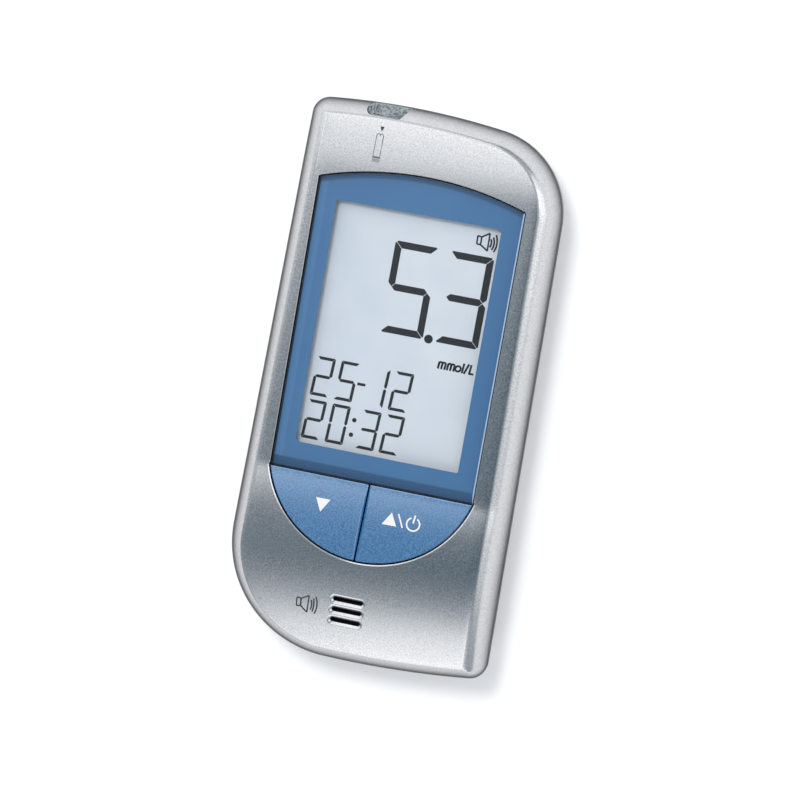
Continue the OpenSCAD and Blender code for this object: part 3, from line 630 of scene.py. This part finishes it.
def film_print_and_painted_shade():
    """Blue print under the lens, lighter along its left edge; darker at its top, as a painted shadow of the
    lens's top edge, and behind the bevel, as painted shade.
    """
    n = Nodes("blue_film")
    # dark is the painted shade; light is a lighter blue for the left edge and the clouds
    base, light, dark = srgb(60, 105, 147), srgb(72, 117, 160), srgb(42, 80, 116)
    left = n.ramp(n.axis("X"), (LENS_LOW.x + 1.9) * MM, (LENS_LOW.x + 1.3) * MM, 0, 0.8)
    cloud = n.ramp(n.noise(12.0), 0.35, 0.65, 0, 0.2)
    tint = n.blend(cloud, n.blend(left, base, light), light)
    centre = Vector((FACE_X, LENS_HIGH.y - LENS_ARC, FILM_HIGH.z)) * MM
    reach = n.vector_math("DISTANCE", n.coordinates, centre)
    # painted shadow of the lens's top edge along the top of the film
    top = n.ramp(reach, (LENS_ARC - 1.3) * MM, (LENS_ARC - 0.8) * MM, 0, 0.95)
    # painted shade on the film behind the lens's lower bevel
    fold = n.ramp(n.axis("Y"), (FOLD_Y + 2.0) * MM, (FOLD_Y + 1.6) * MM, 0, 1)
    tint = n.blend(fold, n.blend(top, tint, dark), dark)
    return n.principled(tint, 0.45, n.bump(n.noise(0.3), 0.03, 0.01))


def display_glass():
    """Pale grey display with a faint cloudiness, lighter to the right."""
    n = Nodes("display_grey")
    across = n.ramp(n.axis("X"), GLASS_LOW.x * MM, GLASS_HIGH.x * MM, 0, 0.6, "LINEAR")
    share = n.math("ADD", across, n.vary(n.noise(8.0), 0, 0.4))
    tint = n.blend(share, srgb(196, 204, 212), srgb(212, 217, 222))
    return n.principled(tint, 0.4, n.bump(n.noise(0.2), 0.02, 0.01))


def print_ink(name, color):
    n = Nodes(name)
    tint = n.blend(n.vary(n.noise(0.2), 0, 0.25), color, mixed(color, (0.5, 0.5, 0.5, 1), 0.04))
    return n.principled(tint, 0.5, n.bump(n.noise(0.15), 0.05, 0.01))


SILVER = metallic_paint("silver_paint", (0.72, 0.725, 0.73, 1), (0.475, 0.48, 0.485, 1),
                        1.0, 0.16, (0.13, 0.135, 0.14, 1))
BLUE = metallic_paint("blue_paint", (0.07, 0.23, 0.47, 1), (0.008, 0.08, 0.225, 1),
                      0.0, 0.15, (0.76, 0.88, 1, 1), 3.6, 0.22)
# unpainted plastic inside the front cover, made this dark as painted shade in its slots and gaps
BARE_AND_GAP_SHADE = plastic("bare_plastic_and_gap_shade", srgb(38, 40, 43), 0.6)
PALE = plastic("pale_plastic", srgb(120, 125, 130), 0.55)
GUIDE = mottled_plastic("strip_guide_grey", srgb(88, 97, 102), srgb(158, 167, 171))
CLEAR = clear_lens()
FILM = film_print_and_painted_shade()
DARK_INK = print_ink("dark_ink", srgb(38, 42, 48))
GREY_INK = print_ink("grey_ink", srgb(96, 98, 104))
LIGHT_INK = print_ink("light_ink", srgb(228, 226, 224))
# near-black on the lens's side walls: painted shade of the gap round the lens
LENS_GAP_SHADE = print_ink("painted_gap_shade", srgb(22, 26, 32))
# pale blue on the lens's right-facing walls: a painted highlight of light through the lens edge
LENS_SIDE_HIGHLIGHT = print_ink("painted_edge_highlight", srgb(176, 196, 220))
SEGMENT = print_ink("display_segment", srgb(20, 21, 25))

# ---- outlines of the lens, the keys and their opening ----

LENS_CORNER = 0.3  # rounding of the two upper corners of the lens
KEY_RADIUS = 19.65  # of the round lower edge of the keys
KEY_LENGTH = 14.4
KEY_CENTRE_Y = FOLD_Y - KEY_LENGTH + KEY_RADIUS
KEY_SPLIT_X = -0.5  # the gap between the keys at the fold
KEY_SPLIT_LEAN = radians(1.4)
LENS_GAP = 0.2
KEY_GAP = 0.3
KEY_CORNER = 0.25
KEY_STEPS = 48  # along the round edge of a key
SKIRT_REACH, SKIRT_HEIGHT = 0.9, 0.95  # of the skirt under the edge of their opening
FLARE_RISE = 0.4  # by which a cutter rises above the face


def lens_outline(grow=0.0):
    """The lens, with a curved upper edge and two rounded corners."""
    half, radius, corner = LENS_HALF + grow, LENS_ARC + grow, LENS_CORNER + grow
    low, reach = FOLD_Y - grow, asin(half / radius)
    centre = Vector((FACE_X, LENS_HIGH.y - LENS_ARC))
    top = arc(centre, radius, pi / 2 - reach, pi / 2 + reach, 28)
    points = plan((FACE_X - half, low), (FACE_X + half, low)) + top
    return rounded(points, {2: corner, len(points) - 1: corner}, 8)


def key_arc(grow, start_x, stop_x, top_y, count=KEY_STEPS):
    """The round lower edge of the keys, from left to right, between two places across it.

    A place that isn't given is where the edge meets top_y.
    """
    radius = KEY_RADIUS + grow
    rise = asin((top_y - KEY_CENTRE_Y) / radius)
    start, stop = (x is not None and 2 * pi - acos((x - FACE_X) / radius) for x in (start_x, stop_x))
    return arc((FACE_X, KEY_CENTRE_Y), radius, start or pi - rise, stop or 2 * pi + rise, count)


def keys_edge():
    """Edge of the opening for both keys, up to the fold."""
    return key_arc(KEY_GAP, None, None, FOLD_Y, 2 * KEY_STEPS)


def keys_opening():
    """Edge of the opening for both keys, which runs on into the seat of the lens."""
    half, top = LENS_HALF + LENS_GAP, FOLD_Y + 0.5
    return keys_edge() + plan((FACE_X + half, top), (FACE_X - half, top))


def flare(points, chamfer, low, depth=None):
    """A cutter that opens out to the face, leaving a chamfer on the edge that it cuts."""
    depth = depth or chamfer
    return stacked((points, low), by_face(points, 0, depth), by_face(points, chamfer, 0),
                   by_face(points, chamfer + FLARE_RISE * (chamfer / depth), -FLARE_RISE))


# ---- front cover ----

SLOT_LENGTH = 5.6  # of the straight walls inside a sound slot
SLOT_WIDTH = 0.8
SLOT_PITCH = 2.0
SLOT_LIP = ((0.0, 0.4), (0.2, 0.23), (0.4, 0.06), (0.56, 0.0), (1.6, -0.4))  # out and down, mm
SPEAKER_X = (GASKET_LOW.x + GASKET_HIGH.x) / 2
SPEAKER_Y = (GASKET_LOW.y + GASKET_HIGH.y) / 2
PORT_X = (GUIDE_LOW.x + GUIDE_HIGH.x) / 2
PORT_Z = 11.5  # floor of the strip slot
PORT_HALF, PORT_HEIGHT = 3.3, 0.9  # half its width, and its height
SHELF_TOP = 16.0  # the cutters through the shelf under the keys and lens end here
GUIDE_GAP = 0.05
PAINT_DEPTH = 0.35  # the paint ends this far under the face


def stadium(x, y, length, width):
    reach, radius = length / 2 - width / 2, width / 2
    return (arc((x + reach, y), radius, -pi / 2, pi / 2, 12)
            + arc((x - reach, y), radius, pi / 2, 3 * pi / 2, 12))


def notch_outline(step=0.0):
    """Scoop in the top edge: round at its left end, slanted at its right end.

    A step moves its edge in, by most at the round end.
    """
    low, radius, slant = TOP_Y - 2.5 + 0.22 * step, 1.25 - 0.12 * step, PORT_X - 0.15 * step
    centre = (PORT_X - 3.85 + step + radius, low + radius)
    return (plan((centre[0], TOP_Y + 1)) + arc(centre, radius, pi / 2, 1.5 * pi, 14)
            + plan((PORT_X + 2.55, low), (slant + 3.25, TOP_Y - 1.4), (slant + 3.85, TOP_Y - 0.4),
                   (PORT_X + 3.85, TOP_Y + 1)))


def make_front_cover(surface):
    cover = front_form()
    cut(cover, front_form(WALL, ROOF, SPLIT_Z - OVERLAP, 1),
        flare(lens_outline(LENS_GAP), 0.08, FILM_LOW.z),
        flare(keys_opening(), 0.2, FILM_LOW.z, 0.14),
        prism(keys_edge(), SPLIT_Z, SHELF_TOP),
        prism(grown(window_outline(), 0.5), SPLIT_Z, SHELF_TOP))
    for i in (-1, 0, 1):
        slot = stadium(SPEAKER_X, SPEAKER_Y + i * SLOT_PITCH, SLOT_LENGTH, SLOT_WIDTH)
        lip = [by_face(slot, out, down) for out, down in SLOT_LIP]
        cut(cover, stacked((slot, SPLIT_Z + 1), *lip))
    cut(cover, flare(notch_outline(), 0.12, GUIDE_LOW.z),
        box_form(GUIDE_LOW.x - GUIDE_GAP, GUIDE_LOW.y - 1, GUIDE_LOW.z - GUIDE_GAP,
                 GUIDE_HIGH.x + GUIDE_GAP, TOP_Y - WALL + GUIDE_GAP, GUIDE_HIGH.z + GUIDE_GAP))
    # bare faces inside get the dark plastic: unpainted plastic, and painted shade in the slots and the gaps
    # round lens and keys
    finish_normals(cover, surface, lambda p: p.z < face_at(p.y) - PAINT_DEPTH
                   and not (p.y > TOP_Y - 3 and p.z > PORT_Z))
    piece(cover, "front_cover_shell", [SILVER, BARE_AND_GAP_SHADE], "front_cover")


# ---- keys ----

def beside_split(side, y):
    """Point on the edge of a key along the gap between the two."""
    return Vector((KEY_SPLIT_X + side * KEY_GAP / 2 + (y - FOLD_Y) * tan(KEY_SPLIT_LEAN), y))


def key_outline(side):
    """One key: straight along the fold and the middle, round below."""
    top = beside_split(side, FOLD_Y - KEY_GAP / 2)
    low = beside_split(side, FOLD_Y - KEY_LENGTH)
    if side < 0:
        points, corners = key_arc(0, None, low.x, top.y) + [top], (KEY_STEPS, KEY_STEPS + 1)
    else:
        points, corners = [top] + key_arc(0, low.x, None, top.y), (0, 1)
    return rounded(points, {corner: KEY_CORNER for corner in corners}, 4)


def make_key(side, surface):
    """A cap cut from the outer surface, on a skirt that reaches under the edge of the opening."""
    name = "key_down" if side < 0 else "key_power"
    low, top, end = KEY_LOW.z, FOLD_Y - KEY_GAP / 2, FOLD_Y - KEY_LENGTH - 2
    points, chamfer, rise = key_outline(side), 0.16, 0.3
    limit = stacked((points, low + 0.9), by_face(points, 0, chamfer),
                    by_face(points, -chamfer, 0), by_face(points, -chamfer - rise, -rise))
    key = common(front_form(), limit)
    half = [beside_split(side, end), beside_split(side, top), *plan((side * WIDE, top), (side * WIDE, end))]
    skirt = prism(key_arc(SKIRT_REACH, None, None, top), low, low + SKIRT_HEIGHT)
    join(key, common(skirt, prism(half[::-side], 0, 30)))
    finish_normals(key, surface)
    piece(key, name + "_cap", [BLUE], name, name)


# ---- lens and display ----

LENS_CHAMFER = 0.22
BEVEL_REACH, BEVEL_DEPTH = 1.8, 0.25  # of the bevel along the lower edge of the lens


def make_lens():
    points = lens_outline()
    lens = stacked((points, LENS_LOW.z), (points, FACE_Z - LENS_CHAMFER * 0.8),
                   (grown(points, -LENS_CHAMFER), FACE_Z))
    bevel = [(FOLD_Y - 1, FACE_Z + 1), (FOLD_Y - 1, FACE_Z - BEVEL_DEPTH),
             (FOLD_Y + BEVEL_REACH, FACE_Z), (FOLD_Y + BEVEL_REACH, FACE_Z + 1)]
    cut(lens, loft([[Vector((x, y, z)) for y, z in bevel] for x in (-WIDE, WIDE)]))
    shade_smooth(lens, 5)
    # side walls of the lens are black as painted shade of the gap round it
    for face in lens.data.polygons:
        # walls facing +x are pale, as a painted highlight; other walls get the painted gap shade
        face.material_index = 2 if face.normal.x > 0.5 else int(abs(face.normal.z) < 0.3)
    piece(lens, "display_lens_clear", [CLEAR, LENS_GAP_SHADE, LENS_SIDE_HIGHLIGHT], "display_lens")


def window_outline():
    """The clear window in the printed film."""
    points = rectangle(-15.6, FOLD_Y + 4.9, 14.85, FOLD_Y + 49.7)
    return rounded(points, {0: 0.9, 1: 0.4, 2: 0.5, 3: 0.45})


def make_film():
    """The print, which sticks to the lens: its top lies 0.005 mm inside the clear form."""
    top = FILM_HIGH.z + 0.005
    film = prism(grown(lens_outline(), -0.1), FILM_LOW.z, top)
    cut(film, prism(window_outline(), FILM_LOW.z - 1, top + 1))
    shade_smooth(film)
    piece(film, "display_border_film", [FILM], "display_border")


# ---- printed signs and display segments ----

def plates(outlines, height, thickness=0.03, sink=0.02):
    """Thin plates of the given outlines that lie on a surface."""
    verts, faces = [], []
    for points in outlines:
        area = sum(a.x * b.y - b.x * a.y for a, b in zip(points, points[1:] + points[:1]))
        points = points if area > 0 else points[::-1]
        start, n = len(verts), len(points)
        verts += at_height(points, lambda y: height(y) - sink)
        verts += at_height(points, lambda y: height(y) + thickness)
        faces += [tuple(start + i for i in reversed(range(n))), tuple(start + n + i for i in range(n))]
        faces += [tuple(start + i for i in face) for face in rows_of([points, points])]
    return form(verts, faces)


def stroke(points, width):
    """A drawn line of a width through points."""
    left, right = [], []
    for i, p in enumerate(points):
        before = p - points[i - 1] if i else points[1] - p
        after = points[i + 1] - p if i + 1 < len(points) else before
        direction = (before.normalized() + after.normalized()).normalized()
        normal = Vector((-direction.y, direction.x)) * width / 2
        left.append(p + normal)
        right.append(p - normal)
    return left + right[::-1]


# The lit segments of each digit
LIT = {"0": "abcdef", "1": "bc", "2": "abged", "3": "abgcd", "5": "afgcd"}


def seven_segments(digit, x, y, w, h, bar, lean):
    """Outlines of the lit segments of a digit w by h; its lower left corner is at x, y.

    The segments meet in mitres, and the outer corners of the digit are cut off.
    """
    half, mid, gap, corner = bar / 2, h / 2, bar * 0.05, bar * 0.36
    notch = corner / 2
    top = [(corner, h), (w - corner, h), (w - notch - gap, h - notch), (w - bar - gap, h - bar),
           (bar + gap, h - bar), (notch + gap, h - notch)]
    centre = [(half + gap, mid), (bar + gap, mid + half), (w - bar - gap, mid + half),
              (w - half - gap, mid), (w - bar - gap, mid - half), (bar + gap, mid - half)]
    upper = [(0, h - corner), (notch, h - notch - gap), (bar, h - bar - gap), (bar, mid + half + gap),
             (half, mid + gap), (0, mid + half + gap)]
    lower = [(px, h - py) for px, py in upper]
    shapes = {"a": top, "d": [(px, h - py) for px, py in reversed(top)], "g": centre, "f": upper,
              "e": lower, "b": [(w - px, py) for px, py in upper], "c": [(w - px, py) for px, py in lower]}
    return [plan(*((x + px + lean * py, y + py) for px, py in shapes[key])) for key in LIT[digit]]


def speaker_sign(box, cone, waves, width):
    """A loudspeaker in outline, with curved sound waves given by three points each."""
    edges = []
    for corners in (box, cone):
        loop = [Vector(p) for p in corners]
        edges += [(a, b) for a, b in zip(loop, loop[1:] + loop[:1]) if (b, a) not in edges]
    shapes = [stroke([a, b], width) for a, b in edges]
    for points in waves:
        top, middle, low = (Vector(p) for p in points)
        bend = middle * 2 - (top + low) / 2
        curve = [top.lerp(bend, i / 8).lerp(bend.lerp(low, i / 8), i / 8) for i in range(9)]
        shapes.append(stroke(curve, width * 1.1))
    return shapes


def letter_m(x, y):
    """An m of the printed unit, 1.3 mm high."""
    lines = [[(start, 0.55), *arc((start + 0.3, 0.98), 0.3, pi, 0, 6), (start + 0.6, 0)]
             for start in (0.16, 0.76)]
    return written([*lines, [(0.16, 0), (0.16, 1.3)]], x, y)


def written(lines, x, y):
    """Bold strokes of slightly leaning letters, with their lower left corner at x, y."""
    return [stroke([Vector((x + px + 0.1 * py, y + py)) for px, py in line], 0.38) for line in lines]


def unit_sign(x, y):
    """The unit mmol/L under the reading."""
    lines = [arc((3.75, 0.65), 0.5, 0, 2 * pi, 16), [(4.62, 0), (4.62, 1.8)],
             [(5.0, -0.05), (5.5, 1.85)], [(5.95, 1.8), (5.95, 0.02)], [(5.85, 0.15), (6.75, 0.15)]]
    return letter_m(x, y) + letter_m(x + 1.66, y) + written(lines, x, y)


def make_sign(name, shapes, ink, body="housing"):
    piece(plates(shapes, face_at), name, [ink], None, body)


def make_signs():
    make_sign("strip_arrow", [plan((-9.9, 47.3), (-9.15, 47.3), (-9.5, 46.4))], DARK_INK)
    left, right, low, high = -10.25, -9.0, 41.9, 45.6
    edge = (plan((left, low), (left, high)) + arc((left + 0.4, high), 0.4, pi, 0.8, 5)
            + plan(((left + right) / 2, high - 0.1)) + arc((right - 0.4, high), 0.4, pi - 0.8, 0, 5)
            + plan((right, high), (right, low)))
    mark = [stroke(edge, 0.13), rectangle(left - 0.06, 41.55, right + 0.06, low)]
    mark += [rectangle(left + 0.2 * i, 40.9, left + 0.2 * i + 0.1, 41.4) for i in range(7)]
    make_sign("strip_mark", mark + [rectangle(left - 0.06, 41.35, right + 0.06, 41.42)], GREY_INK)
    sign = speaker_sign(
        [(-10.2, -40.0), (-9.45, -40.0), (-9.35, -41.5), (-10.1, -41.6)],
        [(-9.4, -40.1), (-8.0, -39.25), (-8.0, -42.5), (-9.3, -41.5)],
        [((-7.5, -40.0), (-7.3, -41.0), (-7.45, -41.9)), ((-7.1, -39.6), (-6.9, -40.9), (-7.05, -42.2)),
         ((-6.7, -39.2), (-6.3, -40.9), (-6.6, -42.5))], 0.25)
    make_sign("speaker_mark", sign, DARK_INK)
    down = [plan((-9.75, -20.9), (-7.05, -20.9), (-8.55, -23.4))]
    make_sign("down_mark", down, LIGHT_INK, "key_down")
    power = [plan((4.5, -20.9), (5.7, -23.3), (3.0, -23.35)),
             stroke(plan((5.75, -20.95), (6.85, -23.3)), 0.28),
             stroke(arc((8.7, -22.3), 1.2, radians(115), radians(420), 28), 0.3),
             stroke(plan((8.85, -20.6), (8.65, -22.1)), 0.3)]
    make_sign("power_mark", power, LIGHT_INK, "key_power")


BIG_DIGITS = (("5", -4.05, 10.8), ("3", 6.15, 10.8))
SMALL_DIGITS = (("2", -14.83, -3.05), ("5", -10.32, -3.05), ("1", -4.55, -3.05), ("2", -0.13, -3.05),
                ("2", -15.13, -11.12), ("0", -10.62, -11.12), ("3", -4.81, -11.12), ("2", -0.4, -11.12))


def make_segments():
    """What the display shows, printed on its glass."""
    shapes = []
    for place in BIG_DIGITS:
        shapes += seven_segments(*place, 8.05, 16.8, 1.27, 0.006)
    for place in SMALL_DIGITS:
        shapes += seven_segments(*place, 3.42, 7.27, 0.55, 0.055)
    shapes += [disc(5.05, 11.05, 0.8), rectangle(-6.4, 0.3, -4.9, 0.8),
               disc(-5.8, -6.15, 0.42), disc(-5.95, -8.9, 0.42)]
    shapes += speaker_sign(
        [(10.6, 31.1), (11.35, 31.0), (11.35, 29.6), (10.65, 29.6)],
        [(11.35, 31.0), (12.72, 31.9), (12.75, 28.7), (11.35, 29.6)],
        [((13.05, 30.9), (13.25, 30.15), (13.05, 29.4)), ((13.45, 31.3), (13.75, 30.15), (13.45, 29.0)),
         ((13.9, 31.8), (14.25, 30.2), (13.9, 28.7))], 0.3)
    segments = plates(shapes + unit_sign(7.5, 6.1), lambda y: GLASS_HIGH.z, 0.02, 0.0)
    piece(segments, "display_segments", [SEGMENT])


# ---- rear cover and battery door ----

DOOR_GAP = 0.1
DOOR_THICK = 1.6
DOOR_HALF = 12.5
TONGUE = 1.0  # reach of the door's side tongues
TONGUE_HEIGHT = 0.9
DOOR_END = DOOR_HIGH.y - 1  # of the door without its end tongue
CELL_GAP = 0.3
CELL_ROOF = 6.3
CELL_WALL = 1.2
KEEP = 0.3  # what is added inside stays this far from the outside
SCREW_POST, SCREW_HEAD, SCREW_HOLE = 2.8, 2.1, 1.05  # radii
CONTACT_HALF = 1.6  # half the length of a slit for a cell's contact
SCREW_PLACES = [(-19.15, 41.9), (17.85, 41.0), (19.15, -41.9), (-16.85, -40.0)]


def door_room(grow, chamfer=0.0):
    """The door's own space in the back wall, with its tongues, moved out by grow."""
    half, low, base = DOOR_HALF + grow, BOTTOM_Y - 1, DOOR_THICK - TONGUE_HEIGHT
    shape = rectangle(-half, low, half, DOOR_END + grow)
    levels = [(shape, -1.0)]
    if chamfer:
        inner = grown(shape, -chamfer)
        levels = [(inner, -1.0), (inner, 0.0), (shape, chamfer)]
    room = stacked(*levels, (shape, DOOR_THICK + grow))
    bottom, top = base - grow, base + TONGUE_HEIGHT + grow
    end_half = DOOR_HALF / 2 + grow
    return join(room, box_form(-half - TONGUE, low, bottom, half + TONGUE, DOOR_END + grow, top),
                box_form(-end_half, DOOR_HIGH.y - 3, bottom, end_half, DOOR_HIGH.y + grow, top))


def make_rear_cover(surface):
    cover = rear_form()
    cut(cover, rear_form(WALL, FLOOR, SPLIT_Z + OVERLAP, 1, 8))
    cells = [mm_box("lower_cell"), mm_box("upper_cell")]
    centres = [((low.x + high.x) / 2, (low.y + high.y) / 2) for low, high in cells]
    radius = (cells[0][1].x - cells[0][0].x) / 2 + CELL_GAP
    half = radius + CELL_WALL
    block = box_form(-half, centres[0][1] - half, FLOOR - 0.01,
                     half, centres[1][1] + half, CELL_ROOF + CELL_WALL)
    join(cover, common(block, rear_form(KEEP, KEEP, SPLIT_Z, 2)))
    for x, y in SCREW_PLACES:
        post = rod_form(x, y, SCREW_POST, 0.5, 8.8)
        join(cover, common(post, rear_form(KEEP, KEEP, 9.0, 2)))
    cut(cover, door_room(DOOR_GAP))
    slits = [(CONTACTS_LOW.x - 0.1, CONTACTS_LOW.x + 0.4), (radius - CELL_GAP, radius + 0.6)]
    for x, y in centres:
        cut(cover, rod_form(x, y, radius, FLOOR - 1, CELL_ROOF, 96))
        for left, right in slits:
            cut(cover, box_form(left, y - CONTACT_HALF, FLOOR, right, y + CONTACT_HALF, SPLIT_Z))
    for x, y in SCREW_PLACES:
        head = disc(x, y, SCREW_HEAD, 48)
        cut(cover, stacked((grown(head, 0.5), -0.3), (grown(head, 0.2), 0), (head, 0.2),
                           (head, 3.2)), rod_form(x, y, SCREW_HOLE, 0, 12, 32))
    finish_normals(cover, surface, lambda p: p.z > 0.3)
    piece(cover, "rear_cover_shell", [SILVER, PALE], "rear_cover")


def make_door(surface):
    door = common(rear_form(), door_room(0.0, 0.18))
    for i in range(5):
        y = DOOR_END - 5.6 - 1.6 * i
        groove = rounded(rectangle(-6, y - 0.4, 6, y + 0.4), {corner: 0.39 for corner in range(4)})
        cut(door, stacked((grown(groove, 0.25), -0.15), (grown(groove, 0.12), 0),
                          (groove, 0.15), (groove, 0.42)))
    finish_normals(door, surface, lambda p: p.z > 0.55)
    piece(door, "battery_door_panel", [SILVER, PALE], "battery_door", "battery_door")


def ramp_at(y):
    """Height of the ramp that leads a strip into the slot."""
    return PORT_Z - (y - TOP_Y + 2.5) * 0.46


def make_guide():
    """The strip guide, seen in the scoop: a rough grey ramp with steps round its left end."""
    guide = box_form(GUIDE_LOW.x, GUIDE_LOW.y, GUIDE_LOW.z, GUIDE_HIGH.x, TOP_Y - WALL, GUIDE_HIGH.z)
    join(guide, prism(grown(notch_outline(), -0.03), GUIDE_LOW.z, 17.0))
    common(guide, front_form(0.05, 0.05))
    for i in range(4):
        terrace = grown(notch_outline(0.42 * i), 0.3 if i == 0 else 0.0)
        rise = 1.5 - 0.5 * i
        cut(guide, prism(terrace, lambda y: ramp_at(y) + rise, 20.0))
    cut(guide, box_form(PORT_X - PORT_HALF, GUIDE_LOW.y - 1, PORT_Z,
                        PORT_X + PORT_HALF, TOP_Y - 2.2, PORT_Z + PORT_HEIGHT))
    shade_smooth(guide)
    piece(guide, "strip_guide_lip", [GUIDE], "strip_guide")


# ---- CAD nodes that stay, with their materials ----

KEPT = (
    (plastic("black_foam", srgb(26, 27, 29), 0.9, 0.6, 0.3), "display_gasket speaker_gasket"),
    (display_glass(), "lcd_front_glass lcd_rear_glass"),
    (plastic("reflector", srgb(228, 231, 233), 0.35), "lcd_reflector"),
    (plastic("white_plastic", srgb(226, 228, 230)), "lcd_frame"),
    (plastic("black_plastic", srgb(30, 31, 34)), "zebra_strip switch_bodies switch_stem_down "
     "switch_stem_power processor voice_chip strip_connector"),
    (plastic("circuit_board", srgb(30, 92, 62), 0.4), "circuit_board"),
    (plastic("ceramic", srgb(150, 112, 66)), "capacitors"),
    (plastic("speaker_cone", srgb(44, 45, 48), 0.6), "speaker_cone"),
    (plastic("lead_insulation", srgb(128, 34, 32), 0.45), "speaker_leads"),
    (metal("steel", (0.62, 0.63, 0.65, 1), 0.28), "crystal speaker_basket negative_contacts "
     "positive_contacts case_screws board_screws"),
    (metal("cell_steel", (0.74, 0.75, 0.76, 1), 0.22, (1, 0.08, 1)), "upper_cell lower_cell"),
    (metal("gold_contact", (0.85, 0.66, 0.32, 1), 0.25), "strip_contacts"),
    (metal("magnet", (0.35, 0.36, 0.38, 1), 0.4), "speaker_magnet"),
)
# Width of the bevel on the edges, in millimetres
BEVELLED = {"upper_cell": 0.15, "lower_cell": 0.15, "case_screws": 0.12, "board_screws": 0.08,
            "processor": 0.08, "voice_chip": 0.08, "switch_bodies": 0.15}


def dress_kept_nodes():
    for material, names in KEPT:
        for name in names.split():
            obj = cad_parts[name]
            for slot in obj.material_slots:
                slot.material = material
            if not obj.material_slots:
                obj.data.materials.append(material)
    for name, width in BEVELLED.items():
        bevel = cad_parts[name].modifiers.new("edge", "BEVEL")
        bevel.width = width * MM
        bevel.segments = 2
        bevel.limit_method = "ANGLE"
        bevel.angle_limit = radians(50)


# ---- stage, light and camera ----

def make_floor():
    """A pale floor, a little lighter where the camera or a mirroring surface looks at it."""
    n = Nodes("pale_floor")
    mottle = n.blend(n.vary(n.noise(60.0), 0, 1), (0.94, 0.93, 0.925, 1), (0.96, 0.95, 0.945, 1))
    diffuse = n.add("BsdfDiffuse", Color=mottle)
    lift = n.add("Emission", Color=WHITE_LIGHT, Strength=0.04)
    dark = n.add("Emission", Strength=0.0)
    paths = n.add("LightPath").outputs
    seen = n.math("MAXIMUM", paths["Is Camera Ray"], paths["Is Glossy Ray"])
    n.finish(n.add_shader(diffuse, n.mix_shader(seen, dark, lift)))
    floor = form(at_height(rectangle(-3, -3, 3, 3), 0.0), [(0, 1, 2, 3)])
    floor.name = "floor"
    floor.data.materials.append(n.owner)


# Soft lights of the studio: direction from straight up and from +X towards +Y, inner and outer
# half angle, all in degrees, and strength. They aren't chosen by hand: a least-squares fit to the
# brightness of the photograph's reflections gave them, and the strengths were scaled afterwards.
SOFT_LIGHTS = (
    (42, 170, 35, 40, 0.13), (73, 110, 17, 28, 0.77), (88, 156, 3, 42, 0.90), (61, 279, 1, 49, 1.05),
    (78, 22, 21, 30, 0.66), (78, 7, 16, 29, 0.30), (51, 164, 0, 28, 0.37), (93, 243, 19, 62, 0.32),
    (47, 58, 30, 49, 0.44), (36, 274, 10, 15, 0.52), (32, 127, 19, 35, 0.78), (73, 359, 14, 48, 0.36),
)
LAMP_COLOR = (1.06, 1.03, 1.02, 1)
SKY = 0.196
SKY_COLOR = (0.70, 0.98, 1.22, 1)


def direction(zenith, azimuth):
    """Towards a place in the sky, in degrees from straight up and from +X towards +Y."""
    up, turn = radians(90 - zenith), radians(azimuth)
    return Vector((cos(up) * cos(turn), cos(up) * sin(turn), sin(up)))


def make_world():
    n = Nodes("studio", world=True)
    bpy.context.scene.world = n.owner
    total = 0.0
    for zenith, azimuth, inner, outer, strength in SOFT_LIGHTS:
        dot = n.vector_math("DOT_PRODUCT", n.coordinates, direction(zenith, azimuth))
        cosines = cos(radians(outer)), cos(radians(inner))
        total = n.math("ADD", total, n.ramp(dot, *cosines, 0.0, strength))
    lamps = n.add("Background", Color=LAMP_COLOR, Strength=total)
    sky = n.add("Background", Color=SKY_COLOR, Strength=SKY)
    white = n.add("Background", Color=WHITE_LIGHT)
    seen = n.add("LightPath").outputs["Is Camera Ray"]
    n.finish(n.mix_shader(seen, n.add_shader(lamps, sky), white))


LAMP_DISTANCE = 0.8


def make_lamp():
    """A round lamp over the meter, which lights it but isn't mirrored in its paint."""
    lamp = bpy.data.lights.new("key", "AREA")
    lamp.shape = "DISK"
    lamp.size = 0.2
    lamp.energy = 2.3
    lamp.color = (1.0, 0.98, 0.95)
    obj = scene_object("key", lamp)
    ray = direction(25, 115)
    obj.location = ray * LAMP_DISTANCE
    obj.rotation_euler = ray.to_track_quat("Z", "Y").to_euler()
    obj.visible_glossy = False


CAMERA_TARGET = Vector((2.3, -0.47, 16.3)) * MM
CAMERA_DISTANCE = 0.4536
CAMERA_LENS = 112.95  # on a 36 mm sensor
CAMERA_TILT = (radians(8.3), radians(7.6))  # away from straight down, along x and y
CAMERA_ROLL = radians(10.02)


def make_camera():
    data = bpy.data.cameras.new("camera")
    data.lens = CAMERA_LENS
    data.sensor_width = 36.0
    data.clip_start = 0.01
    camera = scene_object("camera", data)
    bpy.context.scene.camera = camera
    x, y = (sin(tilt) for tilt in CAMERA_TILT)
    back = Vector((x, y, sqrt(1 - x * x - y * y)))
    up = (Vector((0, 1, 0)) - back * back.y).normalized()
    right = up.cross(back)
    c, s = cos(CAMERA_ROLL), sin(CAMERA_ROLL)
    turn = Matrix((right * c + up * s, up * c - right * s, back)).transposed()
    camera.matrix_world = Matrix.Translation(CAMERA_TARGET + back * CAMERA_DISTANCE) @ turn.to_4x4()


def main():
    bpy.context.scene.view_settings.view_transform = "Standard"
    make_camera()
    make_floor()
    make_world()
    make_lamp()
    front_surface = Surface(front_form())
    rear_surface = Surface(rear_form())
    make_front_cover(front_surface)
    make_key(-1, front_surface)
    make_key(1, front_surface)
    make_rear_cover(rear_surface)
    make_door(rear_surface)
    make_lens()
    make_film()
    make_guide()
    make_signs()
    make_segments()
    dress_kept_nodes()


main()
